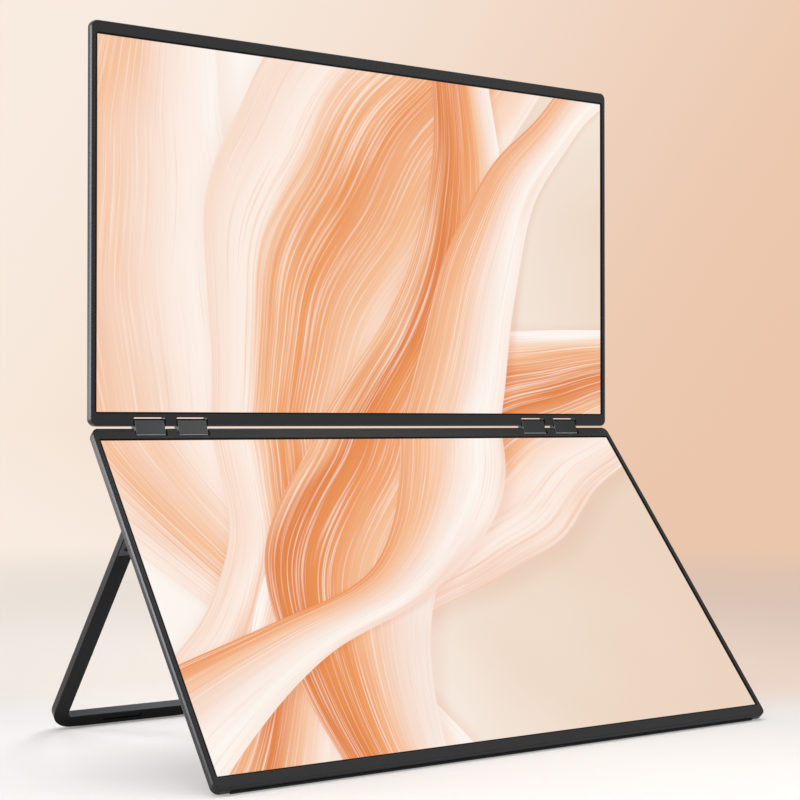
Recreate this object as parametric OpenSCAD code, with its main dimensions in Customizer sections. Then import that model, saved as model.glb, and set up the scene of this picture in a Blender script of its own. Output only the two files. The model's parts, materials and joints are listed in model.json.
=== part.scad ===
// Two slim portable displays, one above the other, joined by paired double-axis
// hinges and held up by a folding U-shaped stand behind the lower display.
// World frame: +X to the viewer's right, +Y away from the viewer, +Z up.
// The origin lies on the floor, at the middle of the whole outline.
// A display is drawn lying on its back: X across, Y away from its hinge edge,
// and Z = 0 on its front face, so that depth runs down to Z = -panel_t.

/* [Displays] */
// Outer width of each display
panel_w = 348; // [344:1:380]
// Outer height of each display, from its hinge edge to its far edge
panel_h = 209; // [204:1:230]
// Thickness of each display
panel_t = 5; // [4.9:0.1:6]
// Radius of the four corners of the outline
corner_r = 4; // [3:0.5:6]
// Bevel round the front rim
rim_bevel = 0.55; // [0.3:0.05:0.7]
// Rounding of the rim towards the back
back_round = 1.2; // [0.6:0.1:2]
// Thickness of the metal rim
wall_t = 0.9; // [0.8:0.05:1.1]
// Thickness of the metal back
floor_t = 0.9; // [0.7:0.05:0.9]
// Dark border beside the picture
side_border = 3.4; // [2.8:0.1:6]
// Dark border along the hinge edge
hinge_border = 7.5; // [7.2:0.1:10]
// Dark border along the far edge
far_border = 7.1; // [5:0.1:10]
// Angle that the lower display leans back from upright
lower_lean = 40; // [25:1:55]
// Angle that the upper display leans back from upright
upper_lean = 0; // [-10:1:15]

/* [Screen layers] */
// Thickness of the front bezel
bezel_t = 0.5; // [0.4:0.05:0.5]
// Thickness of the screen glass
glass_t = 1.2; // [1:0.05:1.2]
// Thickness of the stack of films
film_t = 0.35; // [0.2:0.05:0.35]
// Thickness of the light guide
guide_t = 0.65; // [0.5:0.05:0.65]
// Thickness of the backlight tray's sheet
tray_t = 0.3; // [0.2:0.05:0.3]

/* [Display hinges] */
// Distance of the inner hinge link of a pair from the middle
link_x = 115.8; // [100:0.1:117]
// Distance between the two links of a pair
link_pitch = 24.8; // [24.5:0.1:27]
// Width of a link
link_w = 17; // [15:0.1:17.2]
// Thickness of a link
link_t = 4.6; // [4:0.1:4.7]
// Distance between a link's two axes
axis_gap = 6.7; // [6.7:0.05:7.6]
// Distance of each axis from its display's hinge edge
axis_inset = 2.1; // [1.9:0.05:2.1]
// How far a link reaches past its axes
link_end = 1.8; // [1.6:0.1:2.2]
// Rounding of a link's long edges
link_round = 1.5; // [0.8:0.1:1.7]
// Width of the notch around a link
notch_w = 18.4; // [18.1:0.1:18.8]
// Depth of the notch from the hinge edge
notch_depth = 5.3; // [5:0.1:5.8]
// Radius of the hinge pins
pin_r = 0.8; // [0.6:0.05:0.85]

/* [Stand] */
// Distance of the stand's pivot from the lower display's hinge edge
pivot_down = 58.2; // [50:0.1:75]
// Distance of the stand's outer side from the display's side
stand_inset = 4.4; // [4.2:0.1:12]
// Width of the stand's arms
arm_w = 8.5; // [8:0.1:12]
// Width of the stand's cross bar
bar_w = 8.4; // [8:0.1:14]
// Thickness of the stand
stand_t = 4.4; // [4:0.1:5]
// Distance of the folded stand's foot from the display's far edge
stand_foot_inset = 2.1; // [1.8:0.1:8]
// Outer corner radius of the stand
stand_corner_r = 14; // [6:0.5:18]
// Inner corner radius of the stand
stand_inner_r = 3; // [1:0.5:5]
// Length of the stand's hinge leaf from the pivot
leaf_len = 17; // [15:0.5:24]
// Distance of the leaf's screw from the pivot
leaf_screw_down = 12.4; // [10:0.1:13]
// Distance of the slots in the cross bar from the middle
slot_x = 127; // [100:1:135]
// Length of a slot in the cross bar
slot_len = 22.6; // [15:0.1:30]
// Height of a slot in the cross bar
slot_w = 2.6; // [2:0.1:4]

/* [Rear housing] */
// Width of the rear housing
housing_w = 220; // [218:1:226]
// Height of the rear housing, along the display
housing_h = 80; // [78:1:84]
// Distance of the rear housing from the hinge edge
housing_down = 98; // [90:1:100]
// How far the rear housing stands out from the display's back
housing_t = 4.7; // [4.6:0.1:5.4]
// Wall of the rear housing
housing_wall = 1.2; // [1:0.1:1.4]

/* [Feet] */
// How far the foot strip stands out from the display's far edge
foot_proud = 0.5; // [0.4:0.05:1.5]
// Length of the foot strip
foot_len = 330; // [200:1:332]
// How far the stand's pads stand out from its foot
pad_proud = 0.6; // [0.5:0.05:1.2]
// Length of each of the stand's pads
pad_len = 60; // [40:1:90]

/* [Hidden] */
$fn = 48;

// Small clearances: a running fit, a press fit's slack, and loose layers
run_clear = 0.05;
seat_clear = 0.02;
layer_gap = 0.05;
part_gap = 0.1;
cut = 1;

// Layers of a display, as depths behind its front face
axis_depth = panel_t / 2;
inner_back = panel_t - floor_t;
glass_d = bezel_t + layer_gap;
film_d = glass_d + glass_t + layer_gap;
guide_d = film_d + film_t + layer_gap;
tray_d = guide_d + guide_t + layer_gap;
tray_back = tray_d + tray_t;
plate_t = 0.8;
plate_d = inner_back - plate_t;
board_d = tray_back + layer_gap;
source_t = 0.5;
chip_t = 0.25;
cable_t = 0.15;
cable_d = board_d + source_t - cable_t;

// Outline of the screen glass, and of the opening over it
glass_side_gap = 0.4;
glass_notch_gap = 0.2;
glass_w = panel_w - 2 * (wall_t + glass_side_gap);
notch_wall = 0.6;
glass_v0 = notch_depth + notch_wall + glass_notch_gap;
glass_v1 = panel_h - wall_t - glass_side_gap;
glass_r = corner_r - wall_t;
black_line = 0.35;
opening_w = panel_w - 2 * (side_border - black_line);
opening_v0 = hinge_border - black_line;
opening_v1 = panel_h - far_border + black_line;
opening_r = 1.5;
notch_r = 0.8;

// Space inside the tray's walls, and the row of lamps along its far wall
tray_in = tray_t + part_gap;
guide_end = 3.2;
led_w = 3;
led_depth = 0.9;
led_board_t = 0.2;
led_pitch = 7;

// Hinge brackets
knuckle_w = 3.6;
knuckle_r = 1.4;
knuckle_front = axis_depth - knuckle_r;
knuckle_v0 = wall_t + layer_gap;
knuckle_v1 = 5;
leaf_v0 = notch_depth + notch_wall + part_gap;
leaf_v1 = 21;
pin_hole_r = pin_r + 2 * part_gap;
bracket_x0 = link_x - notch_w / 2 - notch_wall - layer_gap - knuckle_w;
bracket_x1 = link_x + link_pitch + notch_w / 2 + notch_wall + layer_gap + knuckle_w;
hinge_screw_r = 0.8;
hinge_screw_head_r = 1.5;
hinge_screw_v = 14;
hinge_screw_in = 5;

// Links, and the sliders between their pins
link_half = axis_gap / 2 + link_end;
link_front_wall = 0.7;
washer_r = 1.6;
washer_t = (notch_w - link_w) / 2 - 2 * part_gap;
slider_w = 6;
slider_travel = 1.2;
slider_stop_gap = 0.4;
slider_t = 2.8;
slider_front = link_front_wall - link_t / 2;
slider_room = slider_w / 2 + slider_travel + slider_stop_gap;
slider_half = axis_gap / 2 - slider_stop_gap;
lid_t = 0.6;
lid_rim = 0.8;

// Stand, measured from its pivot
stand_gap = 0.3;
pivot_depth = panel_t + stand_gap + stand_t / 2;
stand_reach = panel_h - pivot_down - stand_foot_inset;
stand_half_w = panel_w / 2 - stand_inset;
ear_t = 1.5;
ear_r = stand_t / 2;
ear_relief = 0.5;
arm_top = -ear_r - ear_relief;
window_gap = 0.2;
barrel_w = arm_w - 2 * (ear_t + part_gap);
leaf_t = 1;
leaf_margin = 0.6;
stand_pin_r = 1;
arm_mid_x = stand_half_w - arm_w / 2;
slot_depth = 1;
slot_pad_t = 0.4;
pad_back_inset = 0.6;
pad_corner_gap = 4;
stand_plate_half = 12;
stand_screw_v = 8;
leaf_hole_floor = 0.6;
leaf_hole_depth = stand_t - leaf_hole_floor;
leaf_screw_end_gap = 0.2;
leaf_screw_len = leaf_hole_depth - leaf_screw_end_gap;

// Floor line: the strip and the pads are cut flat where they meet the floor
foot_d0 = 2.4;
foot_back_inset = 0.4;
foot_d1 = panel_t - foot_back_inset;
foot_cut = 0.35;
pad_cut = 0.35;
floor_s = (panel_h + foot_proud) * cos(lower_lean) + foot_d1 * sin(lower_lean) - foot_cut;

// Hinge axes and stand pivot in the world, before the outline is centred
lower_axis_z = floor_s - axis_inset * cos(lower_lean) - axis_depth * sin(lower_lean);
link_lean = (lower_lean + upper_lean) / 2;
upper_axis_z = lower_axis_z + axis_gap * cos(link_lean);
upper_axis_y0 = axis_gap * sin(link_lean);
pivot_z = floor_s - pivot_down * cos(lower_lean) - pivot_depth * sin(lower_lean);
pivot_y0 = -(pivot_down - axis_inset) * sin(lower_lean)
         + (pivot_depth - axis_depth) * cos(lower_lean);
pad_reach = stand_reach + pad_proud;
stand_lean = atan2(stand_t / 2, pad_reach)
           + acos((pivot_z + pad_cut) / norm([pad_reach, stand_t / 2]));
outline_back = pivot_y0 + stand_reach * sin(stand_lean) + stand_t / 2 * cos(stand_lean);
outline_front = min(
    -(panel_h - rim_bevel - axis_inset) * sin(lower_lean) - axis_depth * cos(lower_lean),
    -(panel_h - axis_inset) * sin(lower_lean) - (axis_depth - rim_bevel) * cos(lower_lean));
shift_y = -(outline_back + outline_front) / 2;
lower_axis_y = shift_y;
upper_axis_y = shift_y + upper_axis_y0;
pivot_y = shift_y + pivot_y0;

// Rear housing and its screws, as depths behind the lower display's front
housing_r = 6;
housing_round = 1.5;
housing_top = 0.9;
housing_inner = panel_t + housing_t - housing_top;
housing_back = panel_t + housing_t;
housing_v1 = housing_down + housing_h;
housing_boss_h = housing_t - housing_top - layer_gap;
housing_screw_in = 5.5;
housing_screw_end = 6;
housing_screw_x = housing_w / 2 - housing_screw_end;
boss_r = 2.2;
boss_hole_r = 0.7;
thread_r = boss_hole_r - seat_clear;
screw_head_r = 1.6;

// Main board, its screws and its parts
board_rise = 0.5;
main_d = panel_t + board_rise;
main_t = 0.8;
main_back = main_d + main_t;
main_side_gap = 2.4;
main_half_w = housing_w / 2 - housing_wall - main_side_gap;
main_down = 12;
main_h = 40;
main_v0 = housing_down + main_down;
main_v1 = main_v0 + main_h;
board_hole_end = 18.4;
board_hole_x = main_half_w - board_hole_end;
board_hole_in = 4;
board_head_r = 1.4;
board_head_t = 0.6;
chip_half = 7;
chip_h = 1.2;
chip_v = (main_v0 + main_v1) / 2;
coil_x = [-40, -28, 34, 46];
coil_half = 3;
coil_h = 1.5;
driver_x = [60, 72];
driver_half = 4;
driver_h = 1;
spreader_side = 10;
spreader_half_h = 9;
spreader_t = 0.45;

// Ribbon and hinge cable, which pass through slots in the lower display's back
ribbon_x = 21;
ribbon_w = 22;
ribbon_slot_in = 2.4;
ribbon_slot_v = housing_v1 - housing_wall - ribbon_slot_in;
cable_w = 4;
cable_hinge_in = 5;
cable_hinge_x = cable_hinge_in - bracket_x0;
cable_board_in = 9.05;
cable_board_x = cable_board_in - main_half_w;
cable_turn_gap = 3;
cable_turn_v = leaf_v1 + cable_turn_gap;
cable_slot_in = 6.5;
cable_slot_v = housing_down + cable_slot_in;
slot_gap = 1.2;
slot_side_gap = 1;
plug_side = 1;
plug_len = 4;
plug_h = 1;
plug_in = 0.5;
lead_rise = 0.4;
lead_d = main_back + lead_rise;

// Sockets in the right wall
usb_w = 8.94;
usb_h = 3.16;
usb_l = 7.3;
socket_down = 18;
socket_pitch = 14;
usb_v = [housing_down + socket_down, housing_down + socket_down + socket_pitch];
hdmi_w = 11.2;
hdmi_h = 3.1;
hdmi_l = 7.5;
hdmi_v = usb_v[1] + socket_pitch;
hdmi_bevel = 0.9;
socket_sheet = 0.3;
socket_room = 0.3;
socket_core_l = 2;
tongue_side = 1.2;
tongue_t = 0.7;
tongue_end = 1.5;
socket_recess = 0.2;
socket_x1 = housing_w / 2 - socket_recess;

// Switches and buttons in the left wall
power_down = 20;
plus_down = 34;
minus_down = 44;
switch_v = [for (down = [power_down, plus_down, minus_down]) housing_down + down];
switch_w = 3.2;
switch_l = 3.4;
switch_h = 1.8;
switch_in = 0.2;
switch_x = switch_in - main_half_w;
switch_d = main_back + switch_h / 2;
plunger_r = 0.6;
plunger_l = 0.4;
button_w = [9, 7, 7];
button_h = 2.4;
button_proud = 0.6;
button_travel = 0.4;
button_flange = 0.8;
flange_t = 0.6;
stem_w = 2;
stem_h = 1.6;

// Speakers, their slots, the vents, and the low housing screws beside the speakers
speaker_w = 34;
speaker_h = 12;
speaker_t = 3.1;
speaker_end = 9.8;
speaker_x = housing_w / 2 - housing_wall - speaker_end - speaker_w / 2;
speaker_up = 17;
speaker_v = housing_v1 - speaker_up;
cone_end = 6;
cone_side = 1.5;
cone_depth = 0.6;
speaker_slot_w = 1.2;
speaker_slot_h = 7;
speaker_slot_pitch = 4;
vent_w = 1.4;
vent_h = 12;
vent_pitch = 5;
vent_down = 26;
vent_v = housing_down + vent_down;
low_screw_gap = 7;
low_screw_x = speaker_x - speaker_w / 2 - low_screw_gap;

// Source board and its flexes
source_w = 300;
source_h = 9;
source_v1 = glass_v1 - 5;
source_v0 = source_v1 - source_h;
source_chip_w = 8;
source_chip_h = 3;
source_chip_in = 1;
flex_t = 0.1;
flex_w = 30;
flex_count = 6;
flex_pitch = source_w / flex_count;
flex_overlap = 2;

// Bridge board of the upper display
bridge_leaf_gap = 3;
bridge_h = 16;
bridge_len = 60;
bridge_v0 = leaf_v1 + bridge_leaf_gap;
bridge_v1 = bridge_v0 + bridge_h;
bridge_x0 = cable_hinge_x - cable_w;
bridge_x1 = bridge_x0 + bridge_len;
bridge_ribbon_x = (bridge_x0 + bridge_x1) / 2;
bridge_chip = 10;
bridge_chip_h = 8;
bridge_chip_in = 3;

// A box between two corners, given across, along and in depth
module slice(x0, x1, v0, v1, d0, d1) {
    translate([x0, v0, -d1]) cube([x1 - x0, v1 - v0, d1 - d0]);
}

module rounded_outline(w, h, r) {
    translate([r, 0]) square([w - 2 * r, h]);
    translate([0, r]) square([w, h - 2 * r]);
    for (x = [r, w - r], y = [r, h - r]) translate([x, y]) circle(r);
}

// A plate with rounded corners, from depth d0 to depth d1
module rounded_plate(x0, x1, v0, v1, r, d0, d1) {
    translate([x0, v0, -d1]) linear_extrude(d1 - d0) rounded_outline(x1 - x0, v1 - v0, r);
}

// Half section of a slab's edge: bevelled at the front, rounded at the back
module edge_section(r, t, bevel, rounding) {
    translate([0, -t]) square([r - rounding, t]);
    polygon([[0, 0], [r - bevel, 0], [r, -bevel], [r, rounding - t], [0, rounding - t]]);
    translate([r - rounding, rounding - t]) circle(rounding);
}

module straight_edge(len) {
    rotate([90, 0, 0]) linear_extrude(len, center = true) children();
}

// A slab with its front at Z = 0, whose edge section runs round the outline
module edged_slab(w, h, r, t, bevel, rounding) {
    translate([-w / 2 + r, r, -t]) cube([w - 2 * r, h - 2 * r, t]);
    for (s = [0, 180]) translate([0, h / 2, 0]) rotate([0, 0, s]) {
        translate([w / 2 - r, 0, 0]) straight_edge(h - 2 * r) edge_section(r, t, bevel, rounding);
        translate([0, h / 2 - r, 0]) rotate([0, 0, 90])
            straight_edge(w - 2 * r) edge_section(r, t, bevel, rounding);
        translate([w / 2 - r, h / 2 - r, 0]) rotate_extrude(angle = 90)
            edge_section(r, t, bevel, rounding);
        translate([-w / 2 + r, h / 2 - r, 0]) rotate([0, 0, 90]) rotate_extrude(angle = 90)
            edge_section(r, t, bevel, rounding);
    }
}

// A rod along X
module rod(x0, x1, r) {
    translate([x0, 0, 0]) rotate([0, 90, 0]) cylinder(r = r, h = x1 - x0);
}

// A section drawn as (Y, Z) and carried along X
module across(x0, x1) {
    translate([x0, 0, 0]) rotate([90, 0, 90]) linear_extrude(x1 - x0) children();
}

// A countersunk screw whose head is flush at z = 0 and whose shank runs up
module flush_screw(head_r, shank_r, len) {
    cylinder(r1 = head_r, r2 = shank_r, h = head_r - shank_r);
    cylinder(r = shank_r, h = len);
}

// The recess for such a screw
module flush_hole(head_r, shank_r, len) {
    translate([0, 0, -cut]) cylinder(r = head_r + part_gap, h = cut);
    cylinder(r1 = head_r + part_gap, r2 = shank_r + part_gap, h = head_r - shank_r);
    cylinder(r = shank_r + part_gap, h = len);
}

// The same thing at both sides of the middle
module both_sides() {
    children();
    mirror([1, 0, 0]) children();
}

// Once for each link on one side
module each_link() {
    for (x = [link_x, link_x + link_pitch]) translate([x, 0, 0]) children();
}

// Places: from lying on its back to where the piece stands
module at_upper() {
    translate([0, upper_axis_y, upper_axis_z]) rotate([-upper_lean, 0, 0])
        translate([0, -axis_depth, -axis_inset]) rotate([90, 0, 0]) children();
}

module at_lower() {
    translate([0, lower_axis_y, lower_axis_z]) rotate([-lower_lean, 0, 0]) mirror([0, 0, 1])
        translate([0, -axis_depth, -axis_inset]) rotate([90, 0, 0]) children();
}

// Links: Y across their thickness, Z from the lower axis to the upper one
module at_links() {
    translate([0, (lower_axis_y + upper_axis_y) / 2, (lower_axis_z + upper_axis_z) / 2])
        rotate([-link_lean, 0, 0]) children();
}

// Stand: pivot at the origin, Z up its arms, Y from its front face to its back
module at_stand() {
    translate([0, pivot_y, pivot_z]) rotate([stand_lean, 0, 0]) children();
}

module notch_cut() {
    translate([-notch_w / 2, -cut, -panel_t - cut]) linear_extrude(panel_t + 2 * cut) {
        square([notch_w, cut + notch_depth - notch_r]);
        translate([notch_r, 0]) square([notch_w - 2 * notch_r, cut + notch_depth]);
        for (x = [notch_r, notch_w - notch_r]) translate([x, cut + notch_depth - notch_r])
            circle(notch_r);
    }
}

module notch_surround() {
    slice(-notch_w / 2 - notch_wall, notch_w / 2 + notch_wall, wall_t / 2, notch_depth + notch_wall,
          glass_d, inner_back + floor_t / 2);
}

module hinge_pin_axis() {
    translate([0, axis_inset, -axis_depth]) children();
}

module hinge_screw_places() {
    for (x = [bracket_x0 + hinge_screw_in, bracket_x1 - hinge_screw_in])
        translate([x, hinge_screw_v, -panel_t]) children();
}

// The shell that both displays share
module back_shell() {
    difference() {
        union() {
            difference() {
                edged_slab(panel_w, panel_h, corner_r, panel_t, rim_bevel, back_round);
                rounded_plate(-panel_w / 2 + wall_t, panel_w / 2 - wall_t, wall_t,
                              panel_h - wall_t, corner_r - wall_t, -cut, inner_back);
            }
            both_sides() each_link() notch_surround();
        }
        both_sides() {
            each_link() notch_cut();
            hinge_pin_axis() rod(bracket_x0, bracket_x1, pin_hole_r);
            hinge_screw_places() flush_hole(hinge_screw_head_r, hinge_screw_r, floor_t + cut);
        }
    }
}

module front_bezel() {
    color("#3a3a3b") difference() {
        rounded_plate(-panel_w / 2 + wall_t + layer_gap, panel_w / 2 - wall_t - layer_gap,
                      wall_t + layer_gap, panel_h - wall_t - layer_gap, corner_r - wall_t, 0, bezel_t);
        rounded_plate(-opening_w / 2, opening_w / 2, opening_v0, opening_v1, opening_r, -cut,
                      bezel_t + cut);
        both_sides() each_link() notch_cut();
    }
}

module screen_glass() {
    color("#f0d8c0") screen_layer(0, 0, glass_d, glass_t);
}

// A layer as large as the glass less an inset all round, and shorter at its far edge by far_in
module screen_layer(inset, far_in, d, t) {
    half_w = glass_w / 2 - inset;
    rounded_plate(-half_w, half_w, glass_v0 + inset, glass_v1 - inset - far_in, glass_r - inset, d, d + t);
}

module film_stack() {
    color("#e8e8ea") screen_layer(tray_in, 0, film_d, film_t);
}

module light_guide() {
    color("#dfe6ea") screen_layer(tray_in, guide_end, guide_d, guide_t);
}

// A thin board with a row of lamps that face the light guide's edge
module led_strip() {
    half_w = glass_w / 2 - glass_r;
    led_count = floor((2 * half_w - led_w) / led_pitch);
    v0 = glass_v1 - tray_in - guide_end + part_gap;
    color("#f4f4ec") {
        slice(-half_w, half_w, v0 + led_depth - part_gap, glass_v1 - tray_in,
              guide_d + guide_t - led_board_t, guide_d + guide_t);
        for (i = [0 : led_count]) translate([(i - led_count / 2) * led_pitch, 0, 0])
            slice(-led_w / 2, led_w / 2, v0, v0 + led_depth, guide_d, guide_d + guide_t);
    }
}

module backlight_tray() {
    color("#b8bbbe") difference() {
        screen_layer(0, 0, film_d, tray_back - film_d);
        screen_layer(tray_t, 0, film_d - cut, tray_d - film_d + cut);
    }
}

module source_board() {
    color("#1f5a3a") {
        slice(-source_w / 2, source_w / 2, source_v0, source_v1, board_d, board_d + source_t);
        for (x = [-source_w / 4, 0, source_w / 4])
            slice(x - source_chip_w / 2, x + source_chip_w / 2, source_v0 + source_chip_in,
                  source_v0 + source_chip_in + source_chip_h, board_d + source_t - layer_gap,
                  board_d + source_t + chip_t);
    }
}

// Flexes that lead from the glass round the tray's edge to the source board
module source_flexes() {
    v2 = glass_v1 + layer_gap;
    d1 = board_d + source_t + layer_gap;
    color("#c08a3c") for (i = [0 : flex_count - 1])
        translate([(i - (flex_count - 1) / 2) * flex_pitch, 0, 0]) {
            slice(-flex_w / 2, flex_w / 2, v2, v2 + flex_t, glass_d + glass_t / 4, d1 + flex_t);
            slice(-flex_w / 2, flex_w / 2, source_v1 - flex_overlap, v2 + flex_t / 2, d1, d1 + flex_t);
        }
}

// Steel leaf with three knuckles that carry the pins of one pair of links
module bracket_pair() {
    mid0 = link_x + notch_w / 2 + notch_wall + layer_gap;
    mid1 = link_x + link_pitch - notch_w / 2 - notch_wall - layer_gap;
    difference() {
        union() {
            slice(bracket_x0, bracket_x1, leaf_v0, leaf_v1, plate_d, inner_back);
            for (x = [[bracket_x0, bracket_x0 + knuckle_w], [mid0, mid1],
                      [bracket_x1 - knuckle_w, bracket_x1]]) {
                slice(x[0], x[1], knuckle_v0, knuckle_v1, knuckle_front, inner_back);
                slice(x[0], x[1], knuckle_v1 - part_gap, leaf_v0 + part_gap, plate_d, inner_back);
            }
        }
        hinge_pin_axis() rod(bracket_x0 - cut, bracket_x1 + cut, pin_r + seat_clear);
        hinge_screw_places() translate([0, 0, floor_t - cut])
            cylinder(r = hinge_screw_r + seat_clear, h = plate_t + 2 * cut);
    }
}

module hinge_brackets() {
    color("#8d9094") both_sides() bracket_pair();
}

module hinge_pins() {
    color("#c9cbce") both_sides() hinge_pin_axis() rod(bracket_x0, bracket_x1, pin_r);
}

module hinge_screws() {
    color("#2b2b2c") both_sides() hinge_screw_places()
        flush_screw(hinge_screw_head_r, hinge_screw_r, floor_t + plate_t - part_gap);
}

module lower_back_cover() {
    color("#5c5c5e") at_lower() difference() {
        union() {
            back_shell();
            board_places() translate([0, 0, -board_rise])
                cylinder(r = boss_r, h = board_rise + floor_t / 2);
            housing_places() translate([0, 0, -housing_boss_h])
                cylinder(r = boss_r, h = housing_boss_h + floor_t / 2);
        }
        board_places() translate([0, 0, -board_rise - cut])
            cylinder(r = boss_hole_r, h = board_rise + cut);
        housing_places() translate([0, 0, -housing_boss_h - cut])
            cylinder(r = boss_hole_r, h = housing_boss_h + cut);
        both_sides() stand_window();
        both_sides() stand_screw_places() flush_hole(screw_head_r, hinge_screw_r, floor_t + cut);
        lead_slot(ribbon_x, ribbon_w, ribbon_slot_v);
        lead_slot(cable_board_x, cable_w, cable_slot_v);
    }
}

// Slot in the lower display's back for a flat lead
module lead_slot(x, w, v) {
    half_w = w / 2 + slot_side_gap;
    slice(x - half_w, x + half_w, v - slot_gap, v + slot_gap, inner_back - cut, panel_t + cut);
}

// Screw places on the lower display's back, with Z = 0 on that back
module board_places() {
    for (x = [-board_hole_x, board_hole_x], v = [main_v0 + board_hole_in, main_v1 - board_hole_in])
        translate([x, v, -panel_t]) children();
}

module housing_places() {
    for (s = [-1 : 1]) {
        translate([s * housing_screw_x, housing_down + housing_screw_in, -panel_t]) children();
        translate([s * low_screw_x, housing_v1 - housing_screw_in, -panel_t]) children();
    }
}

module stand_window() {
    half_w = arm_w / 2 + window_gap;
    half_h = ear_r + window_gap;
    slice(arm_mid_x - half_w, arm_mid_x + half_w, pivot_down - half_h, pivot_down + half_h,
          inner_back - cut, panel_t + cut);
}

module stand_screw_places() {
    for (s = [-1, 1]) translate([arm_mid_x, pivot_down + s * stand_screw_v, -panel_t]) children();
}

// Strip under the lower display's far edge, cut flat along the floor
module foot_strip() {
    color("#1c1c1d") difference() {
        at_lower() slice(-foot_len / 2, foot_len / 2, panel_h, panel_h + foot_proud, foot_d0, foot_d1);
        floor_cutter();
    }
}

module floor_cutter() {
    translate([-panel_w, -2 * panel_h, -panel_h]) cube([2 * panel_w, 4 * panel_h, panel_h]);
}

// Rear housing over the main board
module rear_housing_cover() {
    color("#4a4a4c") at_lower() difference() {
        translate([0, housing_down, -panel_t])
            edged_slab(housing_w, housing_h, housing_r, housing_t, 0, housing_round);
        rounded_plate(-housing_w / 2 + housing_wall, housing_w / 2 - housing_wall,
                      housing_down + housing_wall, housing_v1 - housing_wall,
                      housing_r - housing_wall, panel_t - cut, housing_inner);
        for (v = usb_v) socket_hole(v, usb_h) usb_outline(part_gap);
        socket_hole(hdmi_v, hdmi_h) hdmi_outline(part_gap);
        for (i = [0 : 2]) slice(-housing_w / 2 - cut, -housing_w / 2 + housing_wall + cut,
            switch_v[i] - button_w[i] / 2 - part_gap, switch_v[i] + button_w[i] / 2 + part_gap,
            switch_d - button_h / 2 - part_gap, switch_d + button_h / 2 + part_gap);
        speaker_slots();
        vent_slots();
        housing_places() translate([0, 0, -housing_t])
            flush_hole(screw_head_r, hinge_screw_r, housing_top + cut);
    }
}

module socket_hole(v, h) {
    translate([housing_w / 2 - housing_wall - cut, v, -main_d - h / 2]) rotate([90, 0, 90])
        linear_extrude(housing_wall + 2 * cut) children();
}

// A slot through the housing's back, given by its middle
module back_slot(x, v, w, h) {
    slice(x - w / 2, x + w / 2, v - h / 2, v + h / 2, housing_inner - cut, housing_back + cut);
}

module speaker_slots() {
    both_sides() for (i = [-3 : 3])
        back_slot(speaker_x + i * speaker_slot_pitch, speaker_v, speaker_slot_w, speaker_slot_h);
}

module vent_slots() {
    for (i = [-8 : 8]) back_slot(i * vent_pitch, vent_v, vent_w, vent_h);
}

// Main board, cut out round the sockets
module main_board() {
    color("#1d4a36") at_lower() difference() {
        slice(-main_half_w, main_half_w, main_v0, main_v1, main_d, main_back);
        for (v = usb_v) socket_cutout(v, usb_w, usb_l);
        socket_cutout(hdmi_v, hdmi_w, hdmi_l);
        board_places() translate([0, 0, -board_rise - main_t - cut])
            cylinder(r = boss_hole_r + part_gap, h = main_t + 2 * cut);
    }
}

module socket_cutout(v, w, l) {
    half_w = w / 2 + socket_room;
    slice(socket_x1 - l - socket_room, housing_w / 2, v - half_w, v + half_w, main_d - cut, main_back + cut);
}

// Chips, coils and the two lead connectors on the main board
module board_parts() {
    color("#26272a") at_lower() {
        board_block(0, chip_v, chip_half, chip_half, chip_h);
        for (x = coil_x) board_block(x, chip_v, coil_half, coil_half, coil_h);
        for (x = driver_x) board_block(x, chip_v, driver_half, driver_half, driver_h);
        lead_plug(ribbon_x, main_v1 - plug_in - plug_len / 2, ribbon_w);
        lead_plug(cable_board_x, main_v0 + plug_in + plug_len / 2, cable_w);
    }
}

module lead_plug(x, v, w) {
    board_block(x, v, w / 2 + plug_side, plug_len / 2, plug_h);
}

module board_block(x, v, half_w, half_h, h) {
    slice(x - half_w, x + half_w, v - half_h, v + half_h, main_back, main_back + h);
}

module heat_spreader() {
    half_w = chip_half + spreader_side;
    d0 = main_back + chip_h + layer_gap;
    color("#b07040") at_lower()
        slice(-half_w, half_w, chip_v - spreader_half_h, chip_v + spreader_half_h, d0, d0 + spreader_t);
}

module board_screws() {
    color("#b9bcc0") at_lower() board_places() translate([0, 0, -board_rise - main_t]) {
        translate([0, 0, -board_head_t]) cylinder(r = board_head_r, h = board_head_t);
        cylinder(r = thread_r, h = board_rise + main_t - part_gap);
    }
}

module housing_screws() {
    color("#2b2b2c") at_lower() housing_places() translate([0, 0, -housing_t]) {
        cylinder(r1 = screw_head_r, r2 = thread_r, h = screw_head_r - boss_hole_r);
        cylinder(r = thread_r, h = housing_t - part_gap);
    }
}

// Outlines of the two kinds of socket, each grown on all sides by more than its real size
module usb_outline(more) {
    w = usb_w + 2 * more;
    h = usb_h + 2 * more;
    translate([-w / 2, -h / 2]) rounded_outline(w, h, usb_h / 2 - part_gap + more);
}

module hdmi_outline(more) {
    x = hdmi_w / 2 + more;
    y = hdmi_h / 2 + more;
    polygon([[-x, y], [x, y], [x, hdmi_bevel - y], [x - hdmi_bevel, -y], [hdmi_bevel - x, -y],
             [-x, hdmi_bevel - y]]);
}

// A socket lies along X, with its mouth in the housing's right wall
module at_socket(v, h, l) {
    at_lower() translate([socket_x1 - l, v, -main_d - h / 2]) rotate([90, 0, 90]) children();
}

// The moulded core at the back of a socket, whose tongue stands in the open shell
module socket_core(w, l) {
    linear_extrude(socket_core_l) children();
    translate([tongue_side - w / 2, -tongue_t / 2, 0]) cube([w - 2 * tongue_side, tongue_t, l - tongue_end]);
}

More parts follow.
